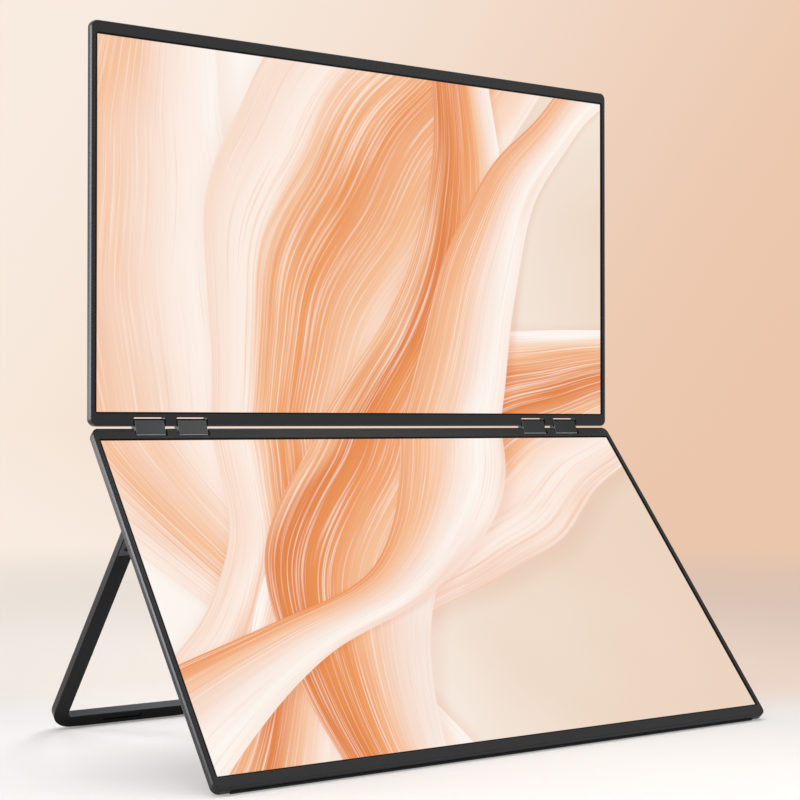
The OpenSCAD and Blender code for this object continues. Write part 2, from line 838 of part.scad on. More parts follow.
module usb_c_sockets() {
    color("#c4c6c9") for (v = usb_v) at_socket(v, usb_h, usb_l) {
        difference() {
            linear_extrude(usb_l) usb_outline(0);
            translate([0, 0, -cut]) linear_extrude(usb_l + 2 * cut) usb_outline(-socket_sheet);
        }
        socket_core(usb_w, usb_l) usb_outline(-socket_sheet - seat_clear);
    }
}

module hdmi_socket() {
    color("#c4c6c9") at_socket(hdmi_v, hdmi_h, hdmi_l) {
        difference() {
            linear_extrude(hdmi_l) hdmi_outline(0);
            translate([0, 0, -cut]) linear_extrude(hdmi_l + 2 * cut) hdmi_outline(-socket_sheet);
        }
        socket_core(hdmi_w, hdmi_l) hdmi_outline(-socket_sheet - seat_clear);
    }
}

// Flat loudspeakers with a sunk oval cone
module speakers() {
    cone_half_w = speaker_w / 2 - cone_end;
    cone_half_h = speaker_h / 2 - cone_side;
    d0 = panel_t + part_gap;
    d1 = d0 + speaker_t;
    color("#333436") at_lower() both_sides() difference() {
        slice(speaker_x - speaker_w / 2, speaker_x + speaker_w / 2, speaker_v - speaker_h / 2,
              speaker_v + speaker_h / 2, d0, d1);
        rounded_plate(speaker_x - cone_half_w, speaker_x + cone_half_w, speaker_v - cone_half_h,
                      speaker_v + cone_half_h, cone_half_h - part_gap, d1 - cone_depth, d1 + cut);
    }
}

module push_switches() {
    color("#d8d8d2") at_lower() for (v = switch_v) {
        slice(switch_x, switch_x + switch_l, v - switch_w / 2, v + switch_w / 2, main_back,
              main_back + switch_h);
        translate([0, v, -switch_d]) rod(switch_x - plunger_l, switch_x + plunger_l, plunger_r);
    }
}

// A button in the housing's left wall, with a flange that keeps it in
module side_button(i) {
    wall_x = -housing_w / 2 + housing_wall;
    stem_end = switch_x - plunger_l - button_travel - part_gap;
    w = button_w[i];
    color("#3f4042") at_lower() translate([0, switch_v[i], -switch_d]) {
        rounding = button_h / 2 - part_gap;
        translate([-housing_w / 2 - button_proud, -w / 2, -button_h / 2]) rotate([90, 0, 90])
            linear_extrude(button_proud + housing_wall + 2 * layer_gap)
                rounded_outline(w, button_h, rounding);
        translate([wall_x + layer_gap, -w / 2 - button_flange, -button_h / 2 - button_flange / 2])
            cube([flange_t, w + 2 * button_flange, button_h + button_flange]);
        translate([wall_x + flange_t / 2, -stem_w / 2, -stem_h / 2])
            cube([stem_end - wall_x - flange_t / 2, stem_w, stem_h]);
    }
}

module power_button() { side_button(0); }
module plus_button() { side_button(1); }
module minus_button() { side_button(2); }

// Ribbon from the source board, through the back, to the main board
module lower_display_ribbon() {
    x0 = ribbon_x - ribbon_w / 2;
    x1 = ribbon_x + ribbon_w / 2;
    plug_v = main_v1 - plug_in + layer_gap;
    color("#c7cacd") at_lower() {
        slice(x0, x1, ribbon_slot_v, source_v0 - layer_gap, cable_d, cable_d + cable_t);
        slice(x0, x1, ribbon_slot_v, ribbon_slot_v + cable_t, cable_d, lead_d);
        slice(x0, x1, plug_v, ribbon_slot_v + cable_t, lead_d - cable_t, lead_d);
    }
}

// Cable from the hinge, across and along the back, to the main board
module lower_hinge_cable() {
    plug_v = main_v0 + plug_in - layer_gap;
    turn_x = [min(cable_hinge_x, cable_board_x), max(cable_hinge_x, cable_board_x)];
    turn_end = cable_turn_v + cable_w;
    color("#2a2a2c") at_lower() {
        cable_run(cable_hinge_x, cable_hinge_x, knuckle_v0, turn_end, cable_d, cable_d + cable_t);
        cable_run(turn_x[0], turn_x[1], cable_turn_v, turn_end, cable_d, cable_d + cable_t);
        cable_run(cable_board_x, cable_board_x, cable_turn_v, cable_slot_v, cable_d, cable_d + cable_t);
        cable_run(cable_board_x, cable_board_x, cable_slot_v - cable_t, cable_slot_v, cable_d, lead_d);
        cable_run(cable_board_x, cable_board_x, cable_slot_v - cable_t, plug_v, lead_d - cable_t, lead_d);
    }
}

// A stretch of the cable that covers its width on both sides of x0 to x1
module cable_run(x0, x1, v0, v1, d0, d1) {
    slice(x0 - cable_w / 2, x1 + cable_w / 2, v0, v1, d0, d1);
}

// Stand's brackets: a plate inside the lower display and two ears behind it
module stand_hinge_brackets() {
    x0 = arm_mid_x - arm_w / 2;
    x1 = arm_mid_x + arm_w / 2;
    color("#6f7174") at_lower() both_sides() difference() {
        union() {
            slice(x0, x1, pivot_down - stand_plate_half, pivot_down + stand_plate_half, plate_d, inner_back);
            for (x = [x0, x1 - ear_t]) {
                slice(x, x + ear_t, pivot_down - ear_r, pivot_down + ear_r, plate_d + plate_t / 2,
                      pivot_depth);
                translate([0, pivot_down, -pivot_depth]) rod(x, x + ear_t, ear_r);
            }
        }
        translate([0, pivot_down, -pivot_depth])
            rod(x0 - cut, x1 + cut, stand_pin_r + seat_clear);
        stand_screw_places() translate([0, 0, floor_t - cut])
            cylinder(r = hinge_screw_r + seat_clear, h = plate_t + 2 * cut);
    }
}

module stand_hinge_pins() {
    color("#c9cbce") at_lower() both_sides() translate([0, pivot_down, -pivot_depth])
        rod(arm_mid_x - arm_w / 2 + part_gap, arm_mid_x + arm_w / 2 - part_gap, stand_pin_r);
}

module stand_bracket_screws() {
    color("#2b2b2c") at_lower() both_sides() stand_screw_places()
        flush_screw(screw_head_r, hinge_screw_r, floor_t + plate_t - part_gap);
}

// Section of a link: a rounded bar that holds both axes
module link_section() {
    translate([-link_t / 2, -link_half]) rounded_outline(link_t, 2 * link_half, link_round);
}

module link_axes() {
    for (z = [-axis_gap / 2, axis_gap / 2]) translate([0, 0, z]) children();
}

// Link bodies, with two bores and a pocket that is open to the back
module hinge_link_bodies() {
    color("#4b4b4d") at_links() both_sides() each_link() difference() {
        across(-link_w / 2, link_w / 2) link_section();
        link_axes() rod(-link_w, link_w, pin_r + run_clear);
        translate([-slider_room, slider_front - part_gap, -slider_half - part_gap])
            cube([2 * slider_room, link_t, 2 * (slider_half + part_gap)]);
        translate([-slider_room - lid_rim, link_t / 2 - lid_t, -slider_half - lid_rim / 2])
            cube([2 * (slider_room + lid_rim), link_t, 2 * slider_half + lid_rim]);
    }
}

module hinge_link_covers() {
    color("#434345") at_links() both_sides() each_link()
        translate([-slider_room - lid_rim + layer_gap, link_t / 2 - lid_t,
                   -slider_half - lid_rim / 2 + layer_gap])
            cube([2 * (slider_room + lid_rim - layer_gap), lid_t,
                  2 * slider_half + lid_rim - 2 * layer_gap]);
}

// Sliders run between both pins and keep the two sides of a fold equal
module hinge_sync_sliders() {
    color("#b08d4a") at_links() both_sides() each_link() difference() {
        translate([-slider_w / 2, slider_front, -slider_half]) cube([slider_w, slider_t, 2 * slider_half]);
        link_axes() rod(-slider_w, slider_w, pin_r + run_clear);
    }
}

// Friction washers in the gaps beside each link, on both axes
module hinge_washers() {
    color("#9a9da0") at_links() both_sides() each_link() link_axes()
        for (x = [-link_w / 2 - part_gap - washer_t, link_w / 2 + part_gap]) difference() {
            rod(x, x + washer_t, washer_r);
            rod(x - cut, x + washer_t + cut, pin_r + run_clear);
        }
}

module lower_front_bezel() { at_lower() front_bezel(); }
module lower_screen_glass() { at_lower() screen_glass(); }
module lower_film_stack() { at_lower() film_stack(); }
module lower_light_guide() { at_lower() light_guide(); }
module lower_led_strip() { at_lower() led_strip(); }
module lower_backlight_tray() { at_lower() backlight_tray(); }
module lower_source_board() { at_lower() source_board(); }
module lower_source_flexes() { at_lower() source_flexes(); }
module lower_hinge_brackets() { at_lower() hinge_brackets(); }
module lower_hinge_pins() { at_lower() hinge_pins(); }
module lower_hinge_screws() { at_lower() hinge_screws(); }

module upper_back_cover() { color("#5c5c5e") at_upper() back_shell(); }
module upper_front_bezel() { at_upper() front_bezel(); }
module upper_screen_glass() { at_upper() screen_glass(); }
module upper_film_stack() { at_upper() film_stack(); }
module upper_light_guide() { at_upper() light_guide(); }
module upper_led_strip() { at_upper() led_strip(); }
module upper_backlight_tray() { at_upper() backlight_tray(); }
module upper_source_board() { at_upper() source_board(); }
module upper_source_flexes() { at_upper() source_flexes(); }
module upper_hinge_brackets() { at_upper() hinge_brackets(); }
module upper_hinge_pins() { at_upper() hinge_pins(); }
module upper_hinge_screws() { at_upper() hinge_screws(); }

// Bridge board of the upper display, with its ribbon and its cable
module upper_bridge_board() {
    chip_v0 = bridge_v0 + bridge_chip_in;
    color("#1d4a36") at_upper() {
        slice(bridge_x0, bridge_x1, bridge_v0, bridge_v1, board_d, board_d + source_t);
        slice(bridge_ribbon_x - bridge_chip / 2, bridge_ribbon_x + bridge_chip / 2, chip_v0,
              chip_v0 + bridge_chip_h, board_d + source_t - layer_gap, board_d + source_t + chip_t);
    }
}

module upper_display_ribbon() {
    color("#c7cacd") at_upper()
        slice(bridge_ribbon_x - ribbon_w / 2, bridge_ribbon_x + ribbon_w / 2, bridge_v1 + layer_gap,
              source_v0 - layer_gap, cable_d, cable_d + cable_t);
}

module upper_hinge_cable() {
    color("#2a2a2c") at_upper()
        cable_run(cable_hinge_x, cable_hinge_x, knuckle_v0, bridge_v0 - layer_gap, cable_d,
                  cable_d + cable_t);
}

// Stand: a U of flat bar, open at the top, with room for the hinge ears
module stand_outline() {
    inner_w = 2 * (stand_half_w - arm_w);
    difference() {
        translate([-stand_half_w, -stand_reach])
            rounded_outline(2 * stand_half_w, 2 * stand_reach, stand_corner_r);
        translate([-inner_w / 2, -stand_reach + bar_w])
            rounded_outline(inner_w, 2 * stand_reach, stand_inner_r);
        translate([-panel_w, arm_top]) square([2 * panel_w, 2 * stand_reach]);
    }
}

module stand_frame() {
    color("#3c3c3e") at_stand() difference() {
        translate([0, stand_t / 2, 0]) rotate([90, 0, 0]) linear_extrude(stand_t) stand_outline();
        both_sides() {
            leaf_recess();
            translate([slot_x - slot_len / 2, -stand_t / 2 - cut, -stand_reach + bar_w / 2 - slot_w / 2])
                cube([slot_len, cut + slot_depth, slot_w]);
            translate([arm_mid_x, -stand_t / 2, -leaf_screw_down]) rotate([-90, 0, 0])
                cylinder(r = hinge_screw_r + seat_clear, h = leaf_hole_depth);
        }
    }
}

module leaf_recess() {
    w = arm_w - 2 * leaf_margin;
    translate([arm_mid_x - w / 2, -stand_t / 2 - cut, -leaf_len])
        cube([w, cut + leaf_t, leaf_len]);
}

// Leaf with a barrel on the pivot, sunk into the front of each arm
module stand_hinge_leaves() {
    w = arm_w - 2 * leaf_margin - 2 * layer_gap;
    color("#58595b") at_stand() both_sides() difference() {
        union() {
            rod(arm_mid_x - barrel_w / 2, arm_mid_x + barrel_w / 2, ear_r);
            translate([arm_mid_x - barrel_w / 2, -stand_t / 2, arm_top - part_gap])
                cube([barrel_w, leaf_t - layer_gap, -arm_top + part_gap]);
            translate([arm_mid_x - w / 2, -stand_t / 2, -leaf_len + layer_gap])
                cube([w, leaf_t - layer_gap, leaf_len + arm_top - layer_gap]);
        }
        rod(arm_mid_x - arm_w, arm_mid_x + arm_w, stand_pin_r + run_clear);
        translate([arm_mid_x, -stand_t / 2, -leaf_screw_down]) rotate([-90, 0, 0])
            flush_hole(screw_head_r, hinge_screw_r, leaf_t + cut);
    }
}

module stand_leaf_screws() {
    color("#151516") at_stand() both_sides() translate([arm_mid_x, -stand_t / 2, -leaf_screw_down])
        rotate([-90, 0, 0]) flush_screw(screw_head_r, hinge_screw_r, leaf_screw_len);
}

module stand_foot_pads() {
    pad_x = stand_half_w - stand_corner_r - pad_corner_gap - pad_len;
    color("#1c1c1d") difference() {
        at_stand() both_sides() translate([pad_x, -stand_t / 2, -stand_reach - pad_proud])
            cube([pad_len, stand_t - pad_back_inset, pad_proud]);
        floor_cutter();
    }
}

// Rubber pads in the slots, which meet the display's back when the stand is shut
module stand_slot_pads() {
    color("#0e0e0f") at_stand() both_sides()
        translate([slot_x - slot_len / 2 + part_gap, -stand_t / 2 + slot_depth - slot_pad_t,
                   -stand_reach + bar_w / 2 - slot_w / 2 + part_gap])
            cube([slot_len - 2 * part_gap, slot_pad_t, slot_w - 2 * part_gap]);
}

lower_back_cover();
lower_front_bezel();
lower_screen_glass();
lower_film_stack();
lower_light_guide();
lower_led_strip();
lower_backlight_tray();
lower_source_board();
lower_source_flexes();
lower_display_ribbon();
lower_hinge_cable();
lower_hinge_brackets();
lower_hinge_pins();
lower_hinge_screws();
foot_strip();
rear_housing_cover();
main_board();
board_parts();
heat_spreader();
board_screws();
housing_screws();
usb_c_sockets();
hdmi_socket();
speakers();
push_switches();
power_button();
plus_button();
minus_button();
stand_hinge_brackets();
stand_hinge_pins();
stand_bracket_screws();
hinge_link_bodies();
hinge_link_covers();
hinge_washers();
hinge_sync_sliders();
upper_back_cover();
upper_front_bezel();
upper_screen_glass();
upper_film_stack();
upper_light_guide();
upper_led_strip();
upper_backlight_tray();
upper_source_board();
upper_source_flexes();
upper_display_ribbon();
upper_hinge_cable();
upper_bridge_board();
upper_hinge_brackets();
upper_hinge_pins();
upper_hinge_screws();
stand_frame();
stand_hinge_leaves();
stand_leaf_screws();
stand_foot_pads();
stand_slot_pads();
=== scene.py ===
"""The looks of two slim stacked displays on folding links, with a U-shaped stand behind.

Sizes are in millimetres until a mesh is put in, which is in metres like the frame.
"""

import json
import logging
from dataclasses import dataclass
from enum import Enum
from math import cos, pi, radians, sin
from typing import Optional, Sequence, Union

import bmesh
import bpy
import numpy as np
from mathutils.geometry import tessellate_polygon
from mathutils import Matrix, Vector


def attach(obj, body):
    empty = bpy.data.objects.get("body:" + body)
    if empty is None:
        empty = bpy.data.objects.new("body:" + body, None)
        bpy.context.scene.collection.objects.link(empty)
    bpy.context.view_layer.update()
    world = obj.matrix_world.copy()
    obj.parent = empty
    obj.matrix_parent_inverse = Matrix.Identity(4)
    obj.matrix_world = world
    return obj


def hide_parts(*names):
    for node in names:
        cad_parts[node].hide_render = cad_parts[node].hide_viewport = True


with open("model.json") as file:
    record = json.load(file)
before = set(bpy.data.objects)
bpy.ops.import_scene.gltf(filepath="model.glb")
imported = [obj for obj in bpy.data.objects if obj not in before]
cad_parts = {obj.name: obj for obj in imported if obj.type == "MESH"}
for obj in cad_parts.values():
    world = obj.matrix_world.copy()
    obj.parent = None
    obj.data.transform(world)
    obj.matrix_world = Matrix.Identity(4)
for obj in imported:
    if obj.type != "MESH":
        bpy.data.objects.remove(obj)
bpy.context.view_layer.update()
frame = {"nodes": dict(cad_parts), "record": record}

LOG = logging.getLogger("looks")
Tone = tuple[float, float, float]
Pair = tuple[float, float]
Number = Union["Value", float]

# Metres in a millimetre, and millimetres in a decimetre
MM = 0.001
DECIMETRE = 100.0

# The studio's wall: its directions, and how its colour turns with the direction
WALL_RIGHT = (0.824, -0.566, 0.0)
WALL_UP = (0.0, 0.0, 1.0)
WALL_BACK = (0.566, 0.824, 0.0)
WALL_TURN = (1.9, 1.1)
WALL_EDGE = (-0.65, 0.4)

# How copies of solids are joined and rounded: distance in millimetres, angles in degrees
WELD = 0.002
FLAT_ANGLE = 0.3
SHARP_ANGLE = 30.0


def srgb(code: str) -> Tone:
    """Linear colour of a six-digit code such as "f0e0d0", by the sRGB curve.

    Args:
        code: Red, green and blue, two hexadecimal digits each.

    Returns:
        Red, green and blue as linear light.
    """
    levels = [int(code[i:i + 2], 16) / 255 for i in (0, 2, 4)]
    red, green, blue = [x / 12.92 if x <= 0.04045 else ((x + 0.055) / 1.055) ** 2.4 for x in levels]
    return red, green, blue


def scaled(tone: Tone, share: float) -> Tone:
    """A colour made lighter or darker by a share."""
    return tone[0] * share, tone[1] * share, tone[2] * share


class Value:
    """A number in a node tree. Python's operators on it add Math nodes."""

    def __init__(self, paint: "Nodes", socket: bpy.types.NodeSocket) -> None:
        """Keeps the tree that the socket belongs to."""
        self.paint = paint
        self.socket = socket

    def __add__(self, other: Number) -> "Value":
        """Sum."""
        return self.paint.math("ADD", self, other)

    def __sub__(self, other: Number) -> "Value":
        """Difference."""
        return self.paint.math("SUBTRACT", self, other)

    def __rsub__(self, other: Number) -> "Value":
        """Difference, from a plain number."""
        return self.paint.math("SUBTRACT", other, self)

    def __mul__(self, other: Number) -> "Value":
        """Product."""
        return self.paint.math("MULTIPLY", self, other)

    def __truediv__(self, other: Number) -> "Value":
        """Quotient."""
        return self.paint.math("DIVIDE", self, other)

    __radd__ = __add__
    __rmul__ = __mul__

    def sine(self) -> "Value":
        """Sine of the value in radians."""
        return self.paint.math("SINE", self)

    def size(self) -> "Value":
        """The value without its sign."""
        return self.paint.math("ABSOLUTE", self)

    def step(self, low: float, high: float) -> "Value":
        """Smooth step: an S-curve between 0 and 1.

        Args:
            low: The value up to which it is 0.
            high: The value from which it is 1.

        Returns:
            The step.
        """
        settings = {"interpolation_type": "SMOOTHSTEP"}
        inputs = {"Value": self, "From Min": low, "From Max": high}
        return self.paint.value(self.paint.add("ShaderNodeMapRange", settings, inputs).outputs["Result"])


class Nodes:
    """A node tree, built by calls that return values and colours."""

    def __init__(self, owner: Union[bpy.types.Material, bpy.types.World]) -> None:
        """Empties the tree of a material or world.

        Args:
            owner: The material or world.
        """
        owner.use_nodes = True
        self.tree = owner.node_tree
        self.tree.nodes.clear()

    def add(self, kind: str, settings: Optional[dict] = None,
            inputs: Optional[dict] = None) -> bpy.types.Node:
        """Adds a node of any type.

        Args:
            kind: Blender's name of the node type.
            settings: The node's own settings, where "stops" fills a colour ramp.
            inputs: Values or links by the input's name or number.

        Returns:
            The node.
        """
        node = self.tree.nodes.new(kind)
        for key, choice in (settings or {}).items():
            if key == "stops":
                self.fill_ramp(node.color_ramp, choice)
            else:
                setattr(node, key, choice)
        for key, given in (inputs or {}).items():
            self.feed(node.inputs[key], given)
        return node

    def fill_ramp(self, ramp: bpy.types.ColorRamp, stops: Sequence[tuple[float, Tone]]) -> None:
        """Gives a colour ramp its stops.

        Args:
            ramp: The ramp.
            stops: Each stop's place from 0 to 1 and its colour.
        """
        while len(ramp.elements) < len(stops):
            ramp.elements.new(1.0)
        for element, (place, tone) in zip(ramp.elements, stops):
            element.position = place
            element.color = (*tone, 1.0)

    def feed(self, socket: bpy.types.NodeSocket, given: object) -> None:
        """Links or sets one input.

        Args:
            socket: The input.
            given: A Value, a socket, a number, a colour or a vector.
        """
        if isinstance(given, Value):
            given = given.socket
        if isinstance(given, bpy.types.NodeSocket):
            self.tree.links.new(given, socket)
        elif socket.type == "RGBA":
            socket.default_value = (*given[:3], 1.0)
        else:
            socket.default_value = given

    def value(self, socket: bpy.types.NodeSocket) -> Value:
        """Wraps a socket that holds a number."""
        return Value(self, socket)

    def math(self, operation: str, *numbers: Number) -> Value:
        """One Math node on values or plain numbers."""
        inputs = dict(enumerate(numbers))
        return self.value(self.add("ShaderNodeMath", {"operation": operation}, inputs).outputs[0])

    def place(self, stretch: tuple[float, float, float] = (1, 1, 1)) -> bpy.types.NodeSocket:
        """Object coordinates in metres.

        Args:
            stretch: What X, Y and Z are multiplied by.

        Returns:
            The point's socket.
        """
        point = self.add("ShaderNodeTexCoord").outputs["Object"]
        if stretch == (1, 1, 1):
            return point
        settings = {"operation": "MULTIPLY"}
        return self.add("ShaderNodeVectorMath", settings, {0: point, 1: stretch}).outputs[0]

    def vector(self, x: Number, y: Number, z: Number = 0.0) -> bpy.types.NodeSocket:
        """A vector from three values."""
        return self.add("ShaderNodeCombineXYZ", inputs={0: x, 1: y, 2: z}).outputs[0]

    def noise(self, point: bpy.types.NodeSocket, size: float, detail: float = 2.0) -> Value:
        """Soft noise from about 0 to 1, whose features are about size across in the point's unit."""
        inputs = {"Vector": point, "Scale": 1 / size, "Detail": detail}
        return self.value(self.add("ShaderNodeTexNoise", {}, inputs).outputs[0])

    def cells(self, point: bpy.types.NodeSocket, per_metre: float) -> Value:
        """Distance to the middle of the nearest of so many cells per metre, in cells."""
        inputs = {"Vector": point, "Scale": per_metre}
        return self.value(self.add("ShaderNodeTexVoronoi", {}, inputs).outputs[0])

    def mix(self, share: Number, first: object, second: object, how: str = "MIX") -> bpy.types.NodeSocket:
        """Two colours mixed.

        Args:
            share: How far the second is worked in, from 0 to 1.
            first: The colour at 0.
            second: The colour that is worked in.
            how: Blender's name of the way that they are mixed.

        Returns:
            The mixed colour.
        """
        node = self.add("ShaderNodeMix", {"data_type": "RGBA", "blend_type": how})
        self.feed(node.inputs[0], share)
        self.feed(node.inputs[6], first)
        self.feed(node.inputs[7], second)
        return node.outputs[2]

    def ramp(self, value: Value, stops: Sequence[tuple[float, Tone]]) -> bpy.types.NodeSocket:
        """A colour looked up by a value from 0 to 1."""
        return self.add("ShaderNodeValToRGB", {"stops": stops}, {0: value}).outputs[0]

    def dot(self, way: bpy.types.NodeSocket, axis: tuple[float, float, float]) -> Value:
        """The part of a vector along an axis."""
        settings = {"operation": "DOT_PRODUCT"}
        return self.value(self.add("ShaderNodeVectorMath", settings, {0: way, 1: axis}).outputs[1])

    def backdrop(self, way: bpy.types.NodeSocket, low: float = 0.3,
                 high: float = 0.85) -> bpy.types.NodeSocket:
        """The studio's colour in a direction: a warm wall behind the object, pale grey elsewhere.

        The wall turns from cream to peach by a smooth step of the direction's part to the
        right, less its height. A smooth step of its part to the back tells where the wall is.

        Args:
            way: The unit direction.
            low: The part to the back at which the wall starts.
            high: The part to the back from which the wall is all there is.

        Returns:
            The colour.
        """
        right, up, back = (self.dot(way, axis) for axis in (WALL_RIGHT, WALL_UP, WALL_BACK))
        turn = (right * WALL_TURN[0] - up * WALL_TURN[1]).step(*WALL_EDGE)
        wall = self.mix(turn, srgb("f8ebdf"), srgb("ebc6ac"))
        return self.mix(back.step(low, high), srgb("dfdedd"), wall)


class Paint(Nodes):
    """The node tree of one material, with a Principled shader."""

    def __init__(self, name: str) -> None:
        """Starts a material with a Principled shader alone.

        Args:
            name: The material's name.
        """
        self.material = bpy.data.materials.new(name)
        super().__init__(self.material)
        self.shader = self.add("ShaderNodeBsdfPrincipled")
        self.output = self.add("ShaderNodeOutputMaterial", inputs={"Surface": self.shader.outputs[0]})

    def bump(self, height: Value, depth: float) -> bpy.types.NodeSocket:
        """A normal bent by a height from 0 to 1 that stands for depth in millimetres."""
        inputs = {"Height": height, "Distance": depth * MM, "Strength": 1.0}
        return self.add("ShaderNodeBump", {}, inputs).outputs[0]

    def finish(self, **inputs: object) -> None:
        """Feeds the Principled shader, with an underscore for each blank in an input's name."""
        for key, given in inputs.items():
            self.feed(self.shader.inputs[key.replace("_", " ")], given)


@dataclass(frozen=True)
class Finish:
    """What every finish has: a name, a colour and how rough it is."""

    name: str
    tone: Tone
    roughness: float = 0.5
    metallic: float = 0.0

    def material(self) -> bpy.types.Material:
        """The material, made once.

        Returns:
            The material.
        """
        name = "look_" + self.name
        found = bpy.data.materials.get(name)
        if found is None:
            paint = Paint(name)
            self.dress(paint)
            found = paint.material
        return found

    def dress(self, paint: Paint) -> None:
        """Builds the nodes. Each kind of finish has its own."""
        raise NotImplementedError


@dataclass(frozen=True)
class Blasted(Finish):
    """Metal or plastic with an even fine grain, as bead-blasted or spark-eroded surfaces have."""

    grain: float = 0.25
    depth: float = 0.004
    mottle: float = 0.12
    patch: float = 35.0
    specular: float = 0.5
    grain_share: float = 0.4
    rough_drift: float = 0.16

    def dress(self, paint: Paint) -> None:
        """Colour and roughness drift over broad patches, and a fine grain bends the normal.

        Args:
            paint: The material's nodes.
        """
        point = paint.place()
        broad = paint.noise(point, self.patch * MM, 3)
        fine = paint.noise(point, self.grain * MM, 2)
        level = broad * (1 - self.grain_share) + fine * self.grain_share
        colour = paint.mix(level, scaled(self.tone, 1 - self.mottle), scaled(self.tone, 1 + self.mottle))
        rough = self.roughness + (level - 0.5) * self.rough_drift
        paint.finish(Base_Color=colour, Roughness=rough, Metallic=self.metallic,
                     Specular_IOR_Level=self.specular, Normal=paint.bump(fine, self.depth))


@dataclass(frozen=True)
class Brushed(Finish):
    """Sheet metal with fine scratches along X."""

    pitch: float = 0.15
    run: float = 40.0
    depth: float = 0.003
    patch: float = 20.0
    dark: float = 0.8
    light: float = 1.15
    rough_drift: float = 0.2

    def dress(self, paint: Paint) -> None:
        """Noise drawn out along X tones the colour, the roughness and the normal.

        Args:
            paint: The material's nodes.
        """
        lines = paint.noise(paint.place((self.pitch / self.run, 1, 1)), self.pitch * MM, 3)
        broad = paint.noise(paint.place(), self.patch * MM, 2)
        level = lines * 0.5 + broad * 0.5
        colour = paint.mix(level, scaled(self.tone, self.dark), scaled(self.tone, self.light))
        rough = self.roughness + (lines - 0.5) * self.rough_drift
        paint.finish(Base_Color=colour, Roughness=rough, Metallic=self.metallic,
                     Normal=paint.bump(lines, self.depth))


@dataclass(frozen=True)
class Turned(Finish):
    """Pins, screws and washers: plated metal with a faint cloudy patina."""

    patina: float = 1.5
    pit: float = 0.1
    depth: float = 0.002
    dark: float = 0.75
    light: float = 1.2
    rough_drift: float = 0.25

    def dress(self, paint: Paint) -> None:
        """Cloudy noise tones the colour and the roughness, and tiny pits bend the normal.

        Args:
            paint: The material's nodes.
        """
        point = paint.place()
        cloud = paint.noise(point, self.patina * MM, 4)
        pits = paint.noise(point, self.pit * MM, 1)
        colour = paint.mix(cloud, scaled(self.tone, self.dark), scaled(self.tone, self.light))
        rough = self.roughness + (cloud - 0.5) * self.rough_drift
        paint.finish(Base_Color=colour, Roughness=rough, Metallic=self.metallic,
                     Normal=paint.bump(pits, self.depth))


@dataclass(frozen=True)
class Rubber(Finish):
    """Matt rubber with a pebbled skin and a little dust."""

    pebbles_per_metre: float = 2500.0
    depth: float = 0.01
    dust_patch: float = 12.0
    dust_edge: Pair = (0.45, 0.8)
    dust_share: float = 0.35
    dust_light: float = 2.2
    dust_rough: float = 0.1
    specular: float = 0.3

    def dress(self, paint: Paint) -> None:
        """Cell noise pebbles the skin, and dust lightens it in patches.

        Args:
            paint: The material's nodes.
        """
        point = paint.place()
        pebbles = paint.cells(point, self.pebbles_per_metre)
        dust = paint.noise(point, self.dust_patch * MM, 4).step(*self.dust_edge)
        colour = paint.mix(dust * self.dust_share, self.tone, scaled(self.tone, self.dust_light))
        paint.finish(Base_Color=colour, Roughness=self.roughness + dust * self.dust_rough,
                     Specular_IOR_Level=self.specular, Normal=paint.bump(pebbles, self.depth))


@dataclass(frozen=True)
class Board(Finish):
    """A circuit board: solder mask over copper tracks, with tinned pads."""

    copper: Tone = srgb("2e7a52")
    pads: Tone = srgb("cfc9ba")
    pitch: float = 1.1
    track_edge: Pair = (0.06, 0.12)
    track_share: float = 0.7
    pads_per_metre: float = 420.0
    pad_edge: Pair = (0.16, 0.2)
    pad_metallic: float = 0.8
    pad_gloss: float = 0.1
    depth: float = 0.02

    def dress(self, paint: Paint) -> None:
        """Edges of square cells are tracks, and small round cells are pads.

        Args:
            paint: The material's nodes.
        """
        point = paint.place()
        cell = {"Vector": point, "Scale": 1 / (self.pitch * MM)}
        tracks = paint.add("ShaderNodeTexVoronoi", {"feature": "F2", "distance": "CHEBYCHEV"}, cell)
        near = paint.add("ShaderNodeTexVoronoi", {"feature": "F1", "distance": "CHEBYCHEV"}, cell)
        gap = paint.value(tracks.outputs[0]) - paint.value(near.outputs[0])
        track = 1 - gap.step(*self.track_edge)
        pad = 1 - paint.cells(point, self.pads_per_metre).step(*self.pad_edge)
        mask = paint.mix(track * self.track_share, self.tone, self.copper)
        paint.finish(Base_Color=paint.mix(pad, mask, self.pads), Metallic=pad * self.pad_metallic,
                     Roughness=self.roughness - pad * self.pad_gloss,
                     Normal=paint.bump(track + pad, self.depth))


@dataclass(frozen=True)
class Striped(Finish):
    """Flat leads, lamp strips and contacts: stripes of a second colour across a direction."""

    stripe: Tone = (0.5, 0.5, 0.5)
    pitch: float = 1.0
    share: float = 0.4
    axis: tuple[float, float, float] = (1.0, 0.0, 0.0)
    blur: float = 0.1
    dirt_patch: float = 4.0
    dark: float = 0.85
    light: float = 1.1
    rough_drift: float = 0.2
    depth: float = 0.02

    def dress(self, paint: Paint) -> None:
        """A sine along the direction, sharpened by a smooth step, over a faint noise.

        Args:
            paint: The material's nodes.
        """
        point = paint.place()
        wave = (paint.dot(point, self.axis) * (2 * pi / (self.pitch * MM))).sine() * 0.5 + 0.5
        line = wave.step(1 - self.share - self.blur, 1 - self.share + self.blur)
        dirt = paint.noise(point, self.dirt_patch * MM, 3)
        ground = paint.mix(dirt, scaled(self.tone, self.dark), scaled(self.tone, self.light))
        rough = self.roughness + (dirt - 0.5) * self.rough_drift
        paint.finish(Base_Color=paint.mix(line, ground, self.stripe), Metallic=self.metallic,
                     Roughness=rough, Normal=paint.bump(line, self.depth))


